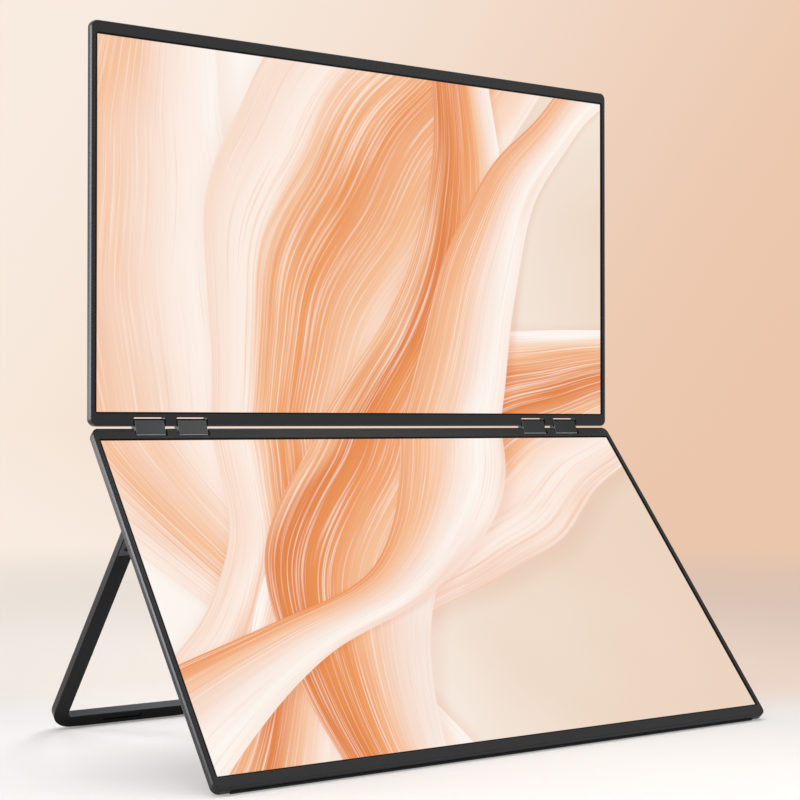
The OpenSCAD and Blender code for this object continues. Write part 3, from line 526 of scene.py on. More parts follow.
@dataclass(frozen=True)
class Ribbon:
    """One silk ribbon of the screens' picture, in a plane measured in decimetres.

    The middle line is offset plus a sine of the distance along the heading, and the half
    width swells by another sine.
    """

    heading: float
    offset: float
    swing: float
    pace: float
    phase: float
    half_width: float
    swell: float
    swell_pace: float
    swell_phase: float
    tones: tuple[Tone, ...]


CREAM = srgb("fdf8f2")
BLUSH = srgb("f8dccb")
PEACH = srgb("f6bf95")
ORANGE = srgb("ee9858")
AMBER = srgb("e2813f")
SHELL = srgb("fdeee4")
ROSE = srgb("efb9a0")


@dataclass(frozen=True)
class Picture(Finish):
    """A lit screen: silk ribbons over a cream ground, within a black frame.

    The UV map gives decimetres across from the middle and up from the hinge line, so that
    the picture runs on from one screen to the other.
    """

    half_width: float = 1.704
    first: float = 0.075
    last: float = 2.019
    edge: float = 0.002
    brightness: float = 0.98
    drift_size: float = 1.6
    ground_level: float = 0.45
    ground_slopes: Pair = (0.22, 0.1)
    ground_drift: float = 0.7
    grain: float = 0.12
    grain_dark: float = 0.8
    rough_drift: float = 0.1
    specular: float = 0.12
    depth: float = 0.002
    seeds: tuple[float, float, float] = (3.7, 1.9, 2.3)
    wander_size: float = 1.3
    wander: float = 0.3
    rim: Pair = (0.985, 1.0)
    shadow_shift: float = 0.06
    shadow_edge: Pair = (0.94, 1.22)
    shadow_share: float = 0.22
    thread_stretch: Pair = (0.16, 7.0)
    thread_size: float = 0.16
    thread_share: float = 0.22
    fold_stretch: Pair = (0.35, 0.9)
    fold_size: float = 0.55
    fold_share: float = 0.5
    gloss_edge: Pair = (0.48, 0.72)
    gloss_share: float = 0.7
    fold_edge: Pair = (0.25, 0.5)
    fold_dark: float = 0.22
    thread_edge: Pair = (0.25, 0.48)
    thread_dark: float = 0.24
    ribbons: tuple[Ribbon, ...] = ()

    def dress(self, paint: Paint) -> None:
        """Lays the ribbons from back to front, and cuts the picture off at its black frame.

        Args:
            paint: The material's nodes.
        """
        uv = paint.add("ShaderNodeUVMap", {"uv_map": "picture"}).outputs[0]
        split = paint.add("ShaderNodeSeparateXYZ", inputs={0: uv})
        u, v = paint.value(split.outputs[0]), paint.value(split.outputs[1])
        drift = paint.noise(uv, self.drift_size, 2) - 0.5
        slope = self.ground_level + u * self.ground_slopes[0] - v * self.ground_slopes[1]
        ground = (slope + drift * self.ground_drift).step(0.0, 1.0)
        colour = paint.mix(ground, CREAM, srgb("ecd4bf"))
        for number, ribbon in enumerate(self.ribbons):
            colour = self.lay(paint, colour, u, v, ribbon, number)
        height = v.size()
        inside = (self.half_width - u.size()).step(0, self.edge)
        inside = inside * (height - self.first).step(0, self.edge)
        inside = inside * (self.last - height).step(0, self.edge)
        lit = paint.mix(inside, (0, 0, 0), paint.mix(1.0, colour, (self.brightness,) * 3, "MULTIPLY"))
        grain = paint.noise(paint.place(), self.grain * MM, 1)
        paint.finish(Base_Color=paint.mix(grain, scaled(self.tone, self.grain_dark), self.tone),
                     Roughness=self.roughness + (grain - 0.5) * self.rough_drift,
                     Specular_IOR_Level=self.specular, Emission_Color=lit, Emission_Strength=1.0,
                     Normal=paint.bump(grain, self.depth))

    def lay(self, paint: Paint, behind: bpy.types.NodeSocket, u: Value, v: Value, ribbon: Ribbon,
            number: int) -> bpy.types.NodeSocket:
        """Lays one ribbon over what is behind it.

        The place across the ribbon, from -1 to 1, picks its colour. Noise that is drawn out
        along the ribbon and squeezed across it makes the fine threads.

        Args:
            paint: The material's nodes.
            behind: The colour so far.
            u: Decimetres across.
            v: Decimetres up.
            ribbon: The ribbon.
            number: Its number, which seeds its noise.

        Returns:
            The colour with the ribbon on it.
        """
        turn = radians(ribbon.heading)
        along = u * cos(turn) + v * sin(turn)
        across = v * cos(turn) - u * sin(turn)
        wander_seed, thread_seed, fold_seed = (number * seed for seed in self.seeds)
        wander = paint.noise(paint.vector(along, wander_seed), self.wander_size, 1) - 0.5
        middle = (along * ribbon.pace + ribbon.phase).sine() * ribbon.swing + ribbon.offset
        middle = middle + wander * self.wander
        half = (along * ribbon.swell_pace + ribbon.swell_phase).sine() * ribbon.swell + ribbon.half_width
        place = (across - middle) / half
        cover = 1 - place.size().step(*self.rim)
        shadow = (1 - (place + self.shadow_shift).size().step(*self.shadow_edge)) * self.shadow_share
        drawn, squeezed = self.thread_stretch
        weave = paint.vector(along * drawn, place * squeezed, thread_seed)
        threads = paint.noise(weave, self.thread_size, 6)
        drawn, squeezed = self.fold_stretch
        drape = paint.vector(along * drawn, place * squeezed, fold_seed)
        folds = paint.noise(drape, self.fold_size, 2)
        look = place * 0.5 + 0.5 + (folds - 0.5) * self.fold_share + (threads - 0.5) * self.thread_share
        count = len(ribbon.tones) - 1
        cloth = paint.ramp(look, [(i / count, tone) for i, tone in enumerate(ribbon.tones)])
        gloss = threads.step(*self.gloss_edge) * self.gloss_share
        cloth = paint.mix(gloss, cloth, SHELL)
        crease = (1 - folds.step(*self.fold_edge)) * self.fold_dark
        crease = crease + (1 - threads.step(*self.thread_edge)) * self.thread_dark
        cloth = paint.mix(crease, cloth, AMBER)
        ground = paint.mix(shadow, behind, ROSE, "MULTIPLY")
        return paint.mix(cover, ground, cloth)


RIBBONS = (
    Ribbon(100, 1.25, 0.28, 1.2, 0.9, 0.52, 0.2, 1.2, 0.4, (CREAM, SHELL, BLUSH, PEACH, BLUSH, SHELL)),
    Ribbon(58, 0.55, 0.35, 1.1, 0.4, 0.58, 0.22, 1.3, 0.0, (SHELL, PEACH, ORANGE, PEACH, SHELL, BLUSH)),
    Ribbon(38, -0.78, 0.42, 0.9, 2.1, 0.52, 0.2, 1.5, 1.2, (BLUSH, SHELL, PEACH, AMBER, PEACH, CREAM)),
    Ribbon(72, -0.05, 0.30, 1.4, 3.5, 0.38, 0.16, 1.1, 2.0, (CREAM, BLUSH, PEACH, ORANGE, AMBER, PEACH)),
    Ribbon(48, -0.15, 0.38, 1.2, 5.2, 0.26, 0.12, 1.7, 0.7, (SHELL, CREAM, BLUSH, PEACH, ORANGE)),
)

FINISHES: dict[str, Finish] = {
    "cover_metal": Blasted("cover_metal", srgb("393a3c"), 0.3, 1.0, grain=0.15, depth=0.0012),
    "bezel": Blasted("bezel", srgb("1b1c1d"), 0.5, 0.0, grain=0.18, specular=0.3),
    "screen": Picture("screen", srgb("060607"), 0.42, ribbons=RIBBONS),
    "film": Blasted("film", srgb("e9ebee"), 0.35, 0.0, mottle=0.04),
    "light_guide": Blasted("light_guide", srgb("dfe8ee"), 0.08, 0.0, grain=0.6, mottle=0.05),
    "lamps": Striped("lamps", srgb("f4f3ec"), 0.5, 0.0, stripe=srgb("f2d44a"), pitch=7.0, share=0.35),
    "tray_steel": Brushed("tray_steel", srgb("b9bcc0"), 0.4, 1.0),
    "board": Board("board", srgb("17452f"), 0.35),
    "flex": Striped("flex", srgb("c08838"), 0.4, 0.0, stripe=srgb("8c5a20"), pitch=0.6),
    "ribbon": Striped("ribbon", srgb("d5d8dc"), 0.45, 0.0, stripe=srgb("9fa4aa"), pitch=1.0),
    "cable": Rubber("cable", srgb("1c1c1e"), 0.6),
    "bracket_steel": Brushed("bracket_steel", srgb("8d9094"), 0.35, 1.0),
    "pin_steel": Turned("pin_steel", srgb("1d1e20"), 0.45, 1.0),
    "screw_steel": Turned("screw_steel", srgb("2c2c2e"), 0.35, 0.9),
    "plain_steel": Turned("plain_steel", srgb("b9bcc0"), 0.3, 1.0),
    "foot_rubber": Rubber("foot_rubber", srgb("17171a"), 0.8),
    "housing": Blasted("housing", srgb("3a3b3d"), 0.5, 0.0, grain=0.35, depth=0.012),
    "chips": Blasted("chips", srgb("1b1b1d"), 0.45, 0.0, grain=0.15),
    "copper": Brushed("copper", srgb("b8703e"), 0.3, 1.0),
    "socket_shell": Turned("socket_shell", srgb("c4c7cb"), 0.25, 1.0),
    "socket_core": Striped("socket_core", srgb("1d1d1f"), 0.45, 0.0, stripe=srgb("c9a049"), pitch=0.5,
                           share=0.45, axis=(0.0, 0.643, 0.766)),
    "speaker": Rubber("speaker", srgb("2a2a2d"), 0.65),
    "switch": Blasted("switch", srgb("d9d8d2"), 0.5, 0.0),
    "button": Blasted("button", srgb("343537"), 0.35, 0.6, grain=0.2),
    "link_metal": Blasted("link_metal", srgb("343536"), 0.3, 1.0, grain=0.15, depth=0.002),
    # A lighter copy of the link metal: a painted highlight on the links' lower front edge and rounded
    # edges
    "link_painted_highlight": Turned("link_painted_highlight", srgb("989a9d"), 0.35, 1.0),
    "washer_steel": Turned("washer_steel", srgb("1d1e20"), 0.45, 1.0),
    "slider_brass": Turned("slider_brass", srgb("c09a50"), 0.3, 1.0),
    "stand_metal": Blasted("stand_metal", srgb("202122"), 0.33, 1.0, grain=0.15, depth=0.002),
    "leaf_metal": Brushed("leaf_metal", srgb("54565a"), 0.4, 0.9),
}


def rows(items: bpy.types.bpy_prop_collection, field: str, width: int, kind: type = float) -> np.ndarray:
    """What a field holds for each item of a mesh.

    Args:
        items: The mesh's points, edges, loops or faces.
        field: The field's name.
        width: Numbers in each row.
        kind: The numbers' type.

    Returns:
        One row for each item.
    """
    flat = np.zeros(len(items) * width, kind)
    items.foreach_get(field, flat)
    return flat.reshape(-1, width)


def node_points(node: str) -> np.ndarray:
    """Corner points of a CAD node in millimetres, one row each."""
    return rows(frame["nodes"][node].data.vertices, "co", 3) / MM


def node_triangles(node: str) -> np.ndarray:
    """Numbers of the three corner points of each triangle of a CAD node."""
    return rows(frame["nodes"][node].data.polygons, "vertices", 3, int)


def facing(node: str, towards: np.ndarray) -> np.ndarray:
    """Direction that the largest flat side of a CAD node faces.

    Each triangle's cross product gives its direction and its area, and the areas are
    added up for each direction.

    Args:
        node: The CAD node.
        towards: Only directions on this side count.

    Returns:
        The unit direction.
    """
    corners = node_points(node)[node_triangles(node)]
    cross = np.cross(corners[:, 1] - corners[:, 0], corners[:, 2] - corners[:, 0])
    area = np.linalg.norm(cross, axis=1)
    kept = (cross @ towards > 0) & (area > 1e-6)
    units = cross[kept] / area[kept, None]
    kinds, which = np.unique(units.round(3), axis=0, return_inverse=True)
    best = np.bincount(which.ravel(), area[kept]).argmax()
    mean = units[which.ravel() == best].mean(0)
    return mean / np.linalg.norm(mean)


def joined(groups: np.ndarray) -> np.ndarray:
    """One label for each point, alike for all points that groups of points join.

    Each group passes the lowest label of its points on until nothing changes.

    Args:
        groups: Numbers of the points of each edge or face, one row each.

    Returns:
        The label of each point.
    """
    labels = np.arange(groups.max() + 1)
    while True:
        passed = labels.copy()
        np.minimum.at(passed, groups, labels[groups].min(1)[:, None])
        if (passed == labels).all():
            return labels
        labels = passed


def islands(node: str) -> list[np.ndarray]:
    """Corner points of each separate solid of a CAD node.

    Args:
        node: The CAD node.

    Returns:
        The points of each solid in millimetres, one row each.
    """
    points, triangles = node_points(node), node_triangles(node)
    _, same = np.unique(points.round(3), axis=0, return_inverse=True)
    owner = joined(same.ravel()[triangles])[same.ravel()]
    return [points[owner == label] for label in np.unique(owner)]


@dataclass(frozen=True)
class Place:
    """Where a flat part lies: its origin and the directions across, along and out of its face."""

    origin: np.ndarray
    across: np.ndarray
    along: np.ndarray
    out: np.ndarray

    def world(self, local: np.ndarray) -> np.ndarray:
        """Points given across, along and out, turned into the frame."""
        return self.origin + local @ np.array([self.across, self.along, self.out])

    def local(self, points: np.ndarray) -> np.ndarray:
        """Points of the frame given across, along and out."""
        return (points - self.origin) @ np.array([self.across, self.along, self.out]).T

    def box(self, node: str) -> tuple[np.ndarray, np.ndarray]:
        """Lowest and highest corner of a CAD node, across, along and out."""
        points = self.local(node_points(node))
        return points.min(0), points.max(0)


def unit(vector: np.ndarray) -> np.ndarray:
    """The same direction with length 1."""
    return vector / np.linalg.norm(vector)


def rounded(corners: Sequence[Sequence[float]], radii: Sequence[float], steps: int = 8) -> np.ndarray:
    """A closed outline whose corners are rounded.

    Each arc touches both of its sides at radius / tan(half the corner's angle) from the
    corner, round a centre on the corner's bisector.

    Args:
        corners: The corners in order.
        radii: One radius for each corner.
        steps: Steps of each arc.

    Returns:
        The outline's points, one row each.
    """
    places = np.array(corners, float)
    arcs = []
    for before, here, after, radius in zip(np.roll(places, 1, 0), places, np.roll(places, -1, 0), radii):
        back, ahead = unit(before - here), unit(after - here)
        half = np.arccos(np.clip(back @ ahead, -1, 1)) / 2
        centre = here + unit(back + ahead) * radius / np.sin(half)
        start, end = (here + way * radius / np.tan(half) - centre for way in (back, ahead))
        first = np.arctan2(start[1], start[0])
        sweep = (np.arctan2(end[1], end[0]) - first + pi) % (2 * pi) - pi
        angles = first + sweep * np.linspace(0, 1, steps + 1)
        arcs.append(centre + radius * np.stack([np.cos(angles), np.sin(angles)], 1))
    return np.concatenate(arcs)


def outward(outline: np.ndarray) -> np.ndarray:
    """Mitred outward directions at the points of an anticlockwise outline.

    The sum of both sides' normals is divided by one plus their product, so that an inset
    of 1 moves each side by 1.

    Args:
        outline: The outline's points, one row each.

    Returns:
        The directions, one row for each point.
    """
    side = np.roll(outline, -1, 0) - outline
    side /= np.linalg.norm(side, axis=1)[:, None]
    normal = np.stack([side[:, 1], -side[:, 0]], 1)
    before = np.roll(normal, 1, 0)
    return (normal + before) / (1 + (normal * before).sum(1))[:, None]


def edge_rings(outline: np.ndarray, profile: Sequence[Pair]) -> np.ndarray:
    """Rings of points round an outline.

    Args:
        outline: The anticlockwise outline.
        profile: A pair of inset and height for each ring.

    Returns:
        The points, as an array of rings, points and 3.
    """
    ways = outward(outline)
    rings = [np.column_stack([outline - ways * inset, np.full(len(outline), height)])
             for inset, height in profile]
    return np.array(rings)


class Skin:
    """Points and faces that are gathered before they become a mesh."""

    def __init__(self) -> None:
        """Starts empty."""
        self.points: list[np.ndarray] = []
        self.faces: list[list[int]] = []
        self.count = 0

    def rings(self, grid: np.ndarray) -> np.ndarray:
        """Adds rows of points with quads between them, closed along each row.

        Args:
            grid: Rows of points, as an array of rows, points and 3.

        Returns:
            The numbers of the points, row by row.
        """
        height, width = grid.shape[:2]
        numbers = self.count + np.arange(height * width).reshape(height, width)
        self.points.append(grid.reshape(-1, 3))
        self.count += height * width
        here, ahead = numbers, np.roll(numbers, -1, 1)
        quads = np.stack([here[:-1], ahead[:-1], ahead[1:], here[1:]], -1)
        self.faces += quads.reshape(-1, 4).tolist()
        return numbers

    def cap(self, *loops: np.ndarray) -> None:
        """Closes a flat face between rings of points.

        Args:
            loops: The numbers of each ring's points. The later rings are holes in the first.
        """
        points = np.concatenate(self.points)
        numbers = np.concatenate(loops)
        triangles = tessellate_polygon([points[loop].tolist() for loop in loops])
        self.faces += numbers[np.array(triangles)].tolist()

    def plate(self, outline: np.ndarray, profile: Sequence[Pair],
              holes: Sequence[np.ndarray] = (), hole_profile: Sequence[Pair] = ()) -> None:
        """Adds a plate: an outline with an edge profile, a flat face at each end, and holes.

        Args:
            outline: The anticlockwise outline.
            profile: Pairs of inset and height from the front to the back.
            holes: Anticlockwise outlines of through holes.
            hole_profile: The same pairs for the holes, whose insets widen them.
        """
        rims = [self.rings(edge_rings(outline, profile))]
        widened = [(-inset, height) for inset, height in hole_profile]
        rims += [self.rings(edge_rings(hole, widened)) for hole in holes]
        self.cap(*[rim[0] for rim in rims])
        self.cap(*[rim[-1] for rim in rims])


def put_in(name: str, skin: Skin, place: Place, body: str, slot: str,
           sharp: float = SHARP_ANGLE) -> bpy.types.Object:
    """Makes a piece of a skin, and lets it ride on a body.

    Args:
        name: The piece's name.
        skin: Its points and faces, in the place's own directions.
        place: Where it lies.
        body: The CAD body that it rides on.
        slot: The record's material slot, which also picks the finish.
        sharp: Edges that turn by more degrees than this stay sharp.

    Returns:
        The object.
    """
    mesh = bpy.data.meshes.new(name)
    mesh.from_pydata((place.world(np.concatenate(skin.points)) * MM).tolist(), [], skin.faces)
    tidy = bmesh.new()
    tidy.from_mesh(mesh)
    bmesh.ops.recalc_face_normals(tidy, faces=tidy.faces)
    tidy.to_mesh(mesh)
    tidy.free()
    return present(name, mesh, body, slot, sharp)


def present(name: str, mesh: bpy.types.Mesh, body: str, slot: str, sharp: float) -> bpy.types.Object:
    """Links a mesh into the scene with its finish, its body and its slot.

    Args:
        name: The piece's name.
        mesh: Its mesh.
        body: The CAD body that it rides on.
        slot: The record's material slot, which also picks the finish.
        sharp: Edges that turn by more degrees than this stay sharp.

    Returns:
        The object.
    """
    mesh.shade_smooth()
    mesh.set_sharp_from_angle(angle=radians(sharp))
    mesh.materials.append(FINISHES[slot].material())
    piece = bpy.data.objects.new(name, mesh)
    bpy.context.scene.collection.objects.link(piece)
    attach(piece, body)
    LOG.info("%s: %d faces, rides on %s, finish %s", name, len(mesh.polygons), body, slot)
    return piece


def softened(node: str, body: str, slot: str, width: float, segments: int = 3,
             edge: str = "") -> bpy.types.Object:
    """A copy of a CAD node with its loose triangles joined and its sharp edges rounded.

    Args:
        node: The CAD node, which the copy replaces.
        body: The CAD body that it rides on.
        slot: The record's material slot.
        width: Width of the rounding in millimetres.
        segments: Steps of the rounding.
        edge: Finish of the rounding, where it is not the slot's; the links give theirs a painted
            highlight.

    Returns:
        The object.
    """
    merged = bmesh.new()
    merged.from_mesh(frame["nodes"][node].data)
    bmesh.ops.remove_doubles(merged, verts=merged.verts, dist=WELD * MM)
    bmesh.ops.dissolve_limit(merged, angle_limit=radians(FLAT_ANGLE), verts=merged.verts,
                             edges=merged.edges)
    mesh = bpy.data.meshes.new(node + "_soft")
    merged.to_mesh(mesh)
    merged.free()
    piece = present(node + "_soft", mesh, body, slot, SHARP_ANGLE)
    rounding = piece.modifiers.new("rounding", "BEVEL")
    rounding.width = width * MM
    rounding.segments = segments
    rounding.limit_method = "ANGLE"
    rounding.angle_limit = radians(SHARP_ANGLE)
    if edge:
        mesh.materials.append(FINISHES[edge].material())
        rounding.material = 1
    even = piece.modifiers.new("even_shading", "WEIGHTED_NORMAL")
    even.keep_sharp = True
    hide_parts(node)
    return piece


@dataclass
class Screws:
    """A set of countersunk screws with a lobed recess, in place of a CAD node.

    Each ring's radius is its profile's radius times 1 plus a share of the cosine of six
    times the angle, where the share is 0 outside the recess.
    """

    node: str
    body: str
    slot: str
    heads: np.ndarray
    lobes: int = 6
    lobe_share: float = 0.14
    recess_share: float = 0.46
    recess_depth: float = 0.55
    recess_floor: float = 0.82
    recess_wall: float = 0.95
    recess_mouth: float = 1.08
    chamfer: float = 0.07
    tip: float = 0.2
    tip_share: float = 0.8
    axis_r: float = 0.1
    sharp: float = 35.0
    points: int = 48
    aslant: tuple[float, float, float] = (0.3, 1.0, 0.2)

    def build(self) -> None:
        """Builds every screw of the node as one piece."""
        side = unit(np.cross(self.heads, self.aslant))
        bare = Place(np.zeros(3), side, np.cross(self.heads, side), self.heads)
        skin = Skin()
        for solid in islands(self.node):
            local = bare.local(solid)
            middle, top = (local.min(0) + local.max(0)) / 2, local[:, 2].max()
            radii = np.linalg.norm((local - middle)[:, :2], axis=1)
            head, shank = radii.max(), radii[radii > self.axis_r].min()
            self.screw(skin, np.array([middle[0], middle[1], top]), head, shank, np.ptp(local[:, 2]))
        piece = put_in(self.node + "_lobed", skin, bare, self.body, self.slot, self.sharp)
        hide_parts(self.node)

    def screw(self, skin: Skin, top: np.ndarray, head: float, shank: float, length: float) -> None:
        """Adds one screw.

        Args:
            skin: Where its points and faces go.
            top: The middle of its head's face.
            head: The head's radius.
            shank: The shank's radius.
            length: From the head's face to the end.
        """
        recess = head * self.recess_share
        profile = np.array([
            (recess * self.recess_floor, -self.recess_depth, 1),
            (recess * self.recess_wall, -self.chamfer, 1), (recess * self.recess_mouth, 0, 1),
            (head - self.chamfer, 0, 0), (head, -self.chamfer, 0), (shank, shank - head, 0),
            (shank, self.tip - length, 0), (shank * self.tip_share, -length, 0)])
        turn = np.linspace(0, 2 * pi, self.points, endpoint=False)
        lobed = 1 + profile[:, 2:] * self.lobe_share * np.cos(self.lobes * turn)
        radius = profile[:, :1] * lobed
        grid = np.stack([radius * np.cos(turn), radius * np.sin(turn),
                         np.repeat(profile[:, 1:2], self.points, 1)], -1)
        numbers = skin.rings(grid + top)
        skin.cap(numbers[0])
        skin.cap(numbers[-1])


class Side(Enum):
    """Which of the two displays, and which way it runs from the hinge line."""

    LOWER = -1
    UPPER = 1


@dataclass
class Display:
    """One display: its screen and bezel are modelled, and its metal and layers are dressed."""

    side: Side
    side_border: float = 3.4
    hinge_border: float = 7.5
    far_border: float = 7.1
    black_line: float = 0.8
    opening_r: float = 1.5
    glass_r: float = 3.1
    glass_bevel: float = 0.15
    lip: float = 0.18
    outer_share: float = 0.6
    inner_share: float = 0.3
    notch_half: float = 9.2
    notch_depth: float = 4.8
    notch_r: float = 0.8
    corner_r: float = 4.0
    cad_bevel: float = 0.55
    bevel_inset: float = 0.3
    hinge_inset: float = 0.06
    bevel_depth: float = 1.4
    near: float = 0.03
    edge: float = 0.1
    rim: float = 0.95

    def __post_init__(self) -> None:
        """Finds the display's directions and its hinge edge from the frame."""
        self.prefix = self.side.name.lower() + "_"
        self.body = self.prefix + "panel"
        out = facing(self.prefix + "screen_glass", np.array([0.0, -1.0, 0.0]))
        across = np.array([1.0, 0.0, 0.0])
        along = np.cross(across, out) * -self.side.value
        bare = Place(np.zeros(3), across, along, out)
        low, high = bare.box(self.prefix + "back_cover")
        self.place = Place(low[1] * along + high[2] * out, across, along, out)
        self.height = high[1] - low[1]

    def build(self) -> None:
        """Builds the display's pieces."""
        self.screen()
        self.bezel()
        Screws(self.prefix + "hinge_screws", self.body, "screw_steel", -self.place.out).build()
        self.cover()

    def cover(self) -> None:
        """The metal cover, whose front bevel is drawn out along the side.

        A point's inset is its distance inside the rounded rectangle of the cover's outline.
        The bevel's points at the front move out to a smaller inset, which is smallest along
        the hinge edge, and those on the side move back to a greater depth.
        """
        piece = softened(self.prefix + "back_cover", self.body, "cover_metal", self.edge, 2)
        mesh = piece.data
        local = self.place.local(rows(mesh.vertices, "co", 3) / MM)
        low, high = self.place.box(self.prefix + "back_cover")
        centre, half = (low + high)[:2] / 2, (high - low)[:2] / 2
        beyond = np.abs(local[:, :2] - centre) - (half - self.corner_r)
        corner = np.maximum(beyond, 0)
        reach = np.linalg.norm(corner, axis=1)
        inset = self.corner_r - reach - np.minimum(beyond.max(1), 0)
        way = corner / np.maximum(reach, 1e-9)[:, None] * np.sign(local[:, :2] - centre)
        depth = high[2] - local[:, 2]
        front = (np.abs(inset - self.cad_bevel) < self.near) & (np.abs(depth) < self.near)
        side = (np.abs(inset) < self.near) & (np.abs(depth - self.cad_bevel) < self.near)
        inner = self.bevel_inset + (self.hinge_inset - self.bevel_inset) * np.maximum(-way[front, 1:], 0)
        local[front, :2] += way[front] * (self.cad_bevel - inner)
        local[side, 2] = high[2] - self.bevel_depth
        LOG.info("%s: %d front and %d side points of the bevel", piece.name, front.sum(), side.sum())
        mesh.vertices.foreach_set("co", (self.place.world(local) * MM).ravel())
        mesh.update()

    def screen(self) -> None:
        """The screen: a plate with rounded corners and a small bevel, and the picture's UV map."""
        low, high = self.place.box(self.prefix + "screen_glass")
        corners = [(low[0], low[1]), (high[0], low[1]), (high[0], high[1]), (low[0], high[1])]
        outline = rounded(corners, [self.glass_r] * 4)
        bevel = self.glass_bevel
        skin = Skin()
        skin.plate(outline, [(bevel, high[2]), (0, high[2] - bevel), (0, low[2])])
        piece = put_in(self.prefix + "screen", skin, self.place, self.body, "screen")
        mesh = piece.data
        local = self.place.local(rows(mesh.vertices, "co", 3) / MM) / DECIMETRE
        spot = np.stack([local[:, 0], local[:, 1] * self.side.value], 1)
        corner = rows(mesh.loops, "vertex_index", 1, int)[:, 0]
        mesh.uv_layers.new(name="picture").data.foreach_set("uv", spot[corner].ravel())
        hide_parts(self.prefix + "screen_glass")

    def bezel(self) -> None:
        """The bezel: a thin plate with a notch for each link, whose opening has a rounded lip."""
        low, high = self.place.box(self.prefix + "front_bezel")
        corners, radii = [(low[0], low[1])], [self.glass_r]
        for link in sorted(island[:, 0].mean() for island in islands("hinge_link_bodies")):
            left, right = link - self.notch_half, link + self.notch_half
            corners += [(left, low[1]), (left, self.notch_depth)]
            corners += [(right, self.notch_depth), (right, low[1])]
            radii += [self.lip, self.notch_r, self.notch_r, self.lip]
        corners += [(high[0], low[1]), (high[0], high[1]), (low[0], high[1])]
        radii += [self.glass_r] * 3
        half = high[0] + self.rim - self.side_border + self.black_line
        first, last = self.hinge_border - self.black_line, self.height - self.far_border + self.black_line
        opening = rounded([(-half, first), (half, first), (half, last), (-half, last)],
                          [self.opening_r] * 4)
        lip, top, floor = self.lip, high[2], low[2]
        outer, inner = lip * self.outer_share, lip * self.inner_share
        skin = Skin()
        skin.plate(rounded(corners, radii), [(outer, top), (0, top - outer), (0, floor)], [opening],
                   [(lip * 2, top), (lip, top), (inner, top - inner), (0, top - lip), (0, floor)])
        piece = put_in(self.prefix + "bezel", skin, self.place, self.body, "bezel")
        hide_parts(self.prefix + "front_bezel")


@dataclass
class Links:
    """The hinge links between the displays.

    The lower front edge faces lit_way, and it is made of the faces whose normals have at
    least lit_share along that way. Those faces and the rounded edges get a lighter copy of
    the metal, a painted highlight.
    """

    rounding: float = 0.35
    cover_edge: float = 0.12
    lit_way: tuple[float, float, float] = (0.0, -0.906, -0.423)
    lit_share: float = 0.88

    def build(self) -> None:
        """Builds the link bodies and their covers; the bodies' lower front edge and rounded edges get a
        painted highlight.
        """
        piece = softened("hinge_link_bodies", "hinge_links", "link_metal", self.rounding, 2, "link_painted_highlight")
        faces = piece.data.polygons
        # Faces that point down and forward get the lighter metal, a painted highlight
        lit = rows(faces, "normal", 3) @ np.array(self.lit_way) > self.lit_share
        faces.foreach_set("material_index", lit.astype(int))
        softened("hinge_link_covers", "hinge_links", "link_metal", self.cover_edge)


@dataclass
class Stand:
    """The folding stand and the brackets that carry it."""

    edge: float = 0.3
    small_edge: float = 0.12
    slot_edge: float = 0.08
    bracket_edge: float = 0.15

    def build(self) -> None:
        """Builds the frame, its leaves, its pads and the brackets."""
        softened("stand_frame", "kickstand", "stand_metal", self.edge)
        softened("stand_hinge_leaves", "kickstand", "leaf_metal", self.small_edge)
        softened("stand_foot_pads", "kickstand", "foot_rubber", self.small_edge)
        softened("stand_slot_pads", "kickstand", "foot_rubber", self.slot_edge)
        softened("stand_hinge_brackets", "lower_panel", "bracket_steel", self.bracket_edge)
        front = facing("stand_frame", np.array([0.0, -1.0, 0.0]))
        Screws("stand_leaf_screws", "kickstand", "screw_steel", front).build()


@dataclass
class Housing:
    """The rear housing with its sockets and buttons, and the foot strip."""

    edge: float = 0.15
    button_edge: float = 0.25
    socket_edge: float = 0.06
    strip_edge: float = 0.1
    core_step: float = 0.5

    def build(self) -> None:
        """Builds the cover, the buttons, the sockets and the strip."""
        softened("rear_housing_cover", "lower_panel", "housing", self.edge, 2)
        for button in ("power_button", "plus_button", "minus_button"):
            softened(button, button, "button", self.button_edge)
        self.socket("usb_c_sockets")
        self.socket("hdmi_socket")
        softened("foot_strip", "lower_panel", "foot_rubber", self.strip_edge, 2)
        back = facing("rear_housing_cover", np.array([0.0, 1.0, 0.0]))
        for node in ("housing_screws", "stand_bracket_screws"):
            Screws(node, "lower_panel", "screw_steel", back).build()

    def socket(self, node: str) -> None:
        """Builds sockets, whose cores are plastic with gilt contacts.

        The cores are the solids that are narrower than the widest by more than core_step.

        Args:
            node: The CAD node.
        """
        piece = softened(node, "lower_panel", "socket_shell", self.socket_edge, 2)
        mesh = piece.data
        mesh.materials.append(FINISHES["socket_core"].material())
        across = rows(mesh.vertices, "co", 3)[:, 0] / MM
        owner = joined(rows(mesh.edges, "vertices", 2, int))
        reach = {label: np.ptp(across[owner == label]) for label in np.unique(owner)}
        limit = max(reach.values()) - self.core_step
        short = np.isin(owner, [label for label, size in reach.items() if size < limit])
        starts = rows(mesh.polygons, "loop_start", 1, int)[:, 0]
        corner = rows(mesh.loops, "vertex_index", 1, int)[:, 0]
        mesh.polygons.foreach_set("material_index", short[corner[starts]].astype(int))


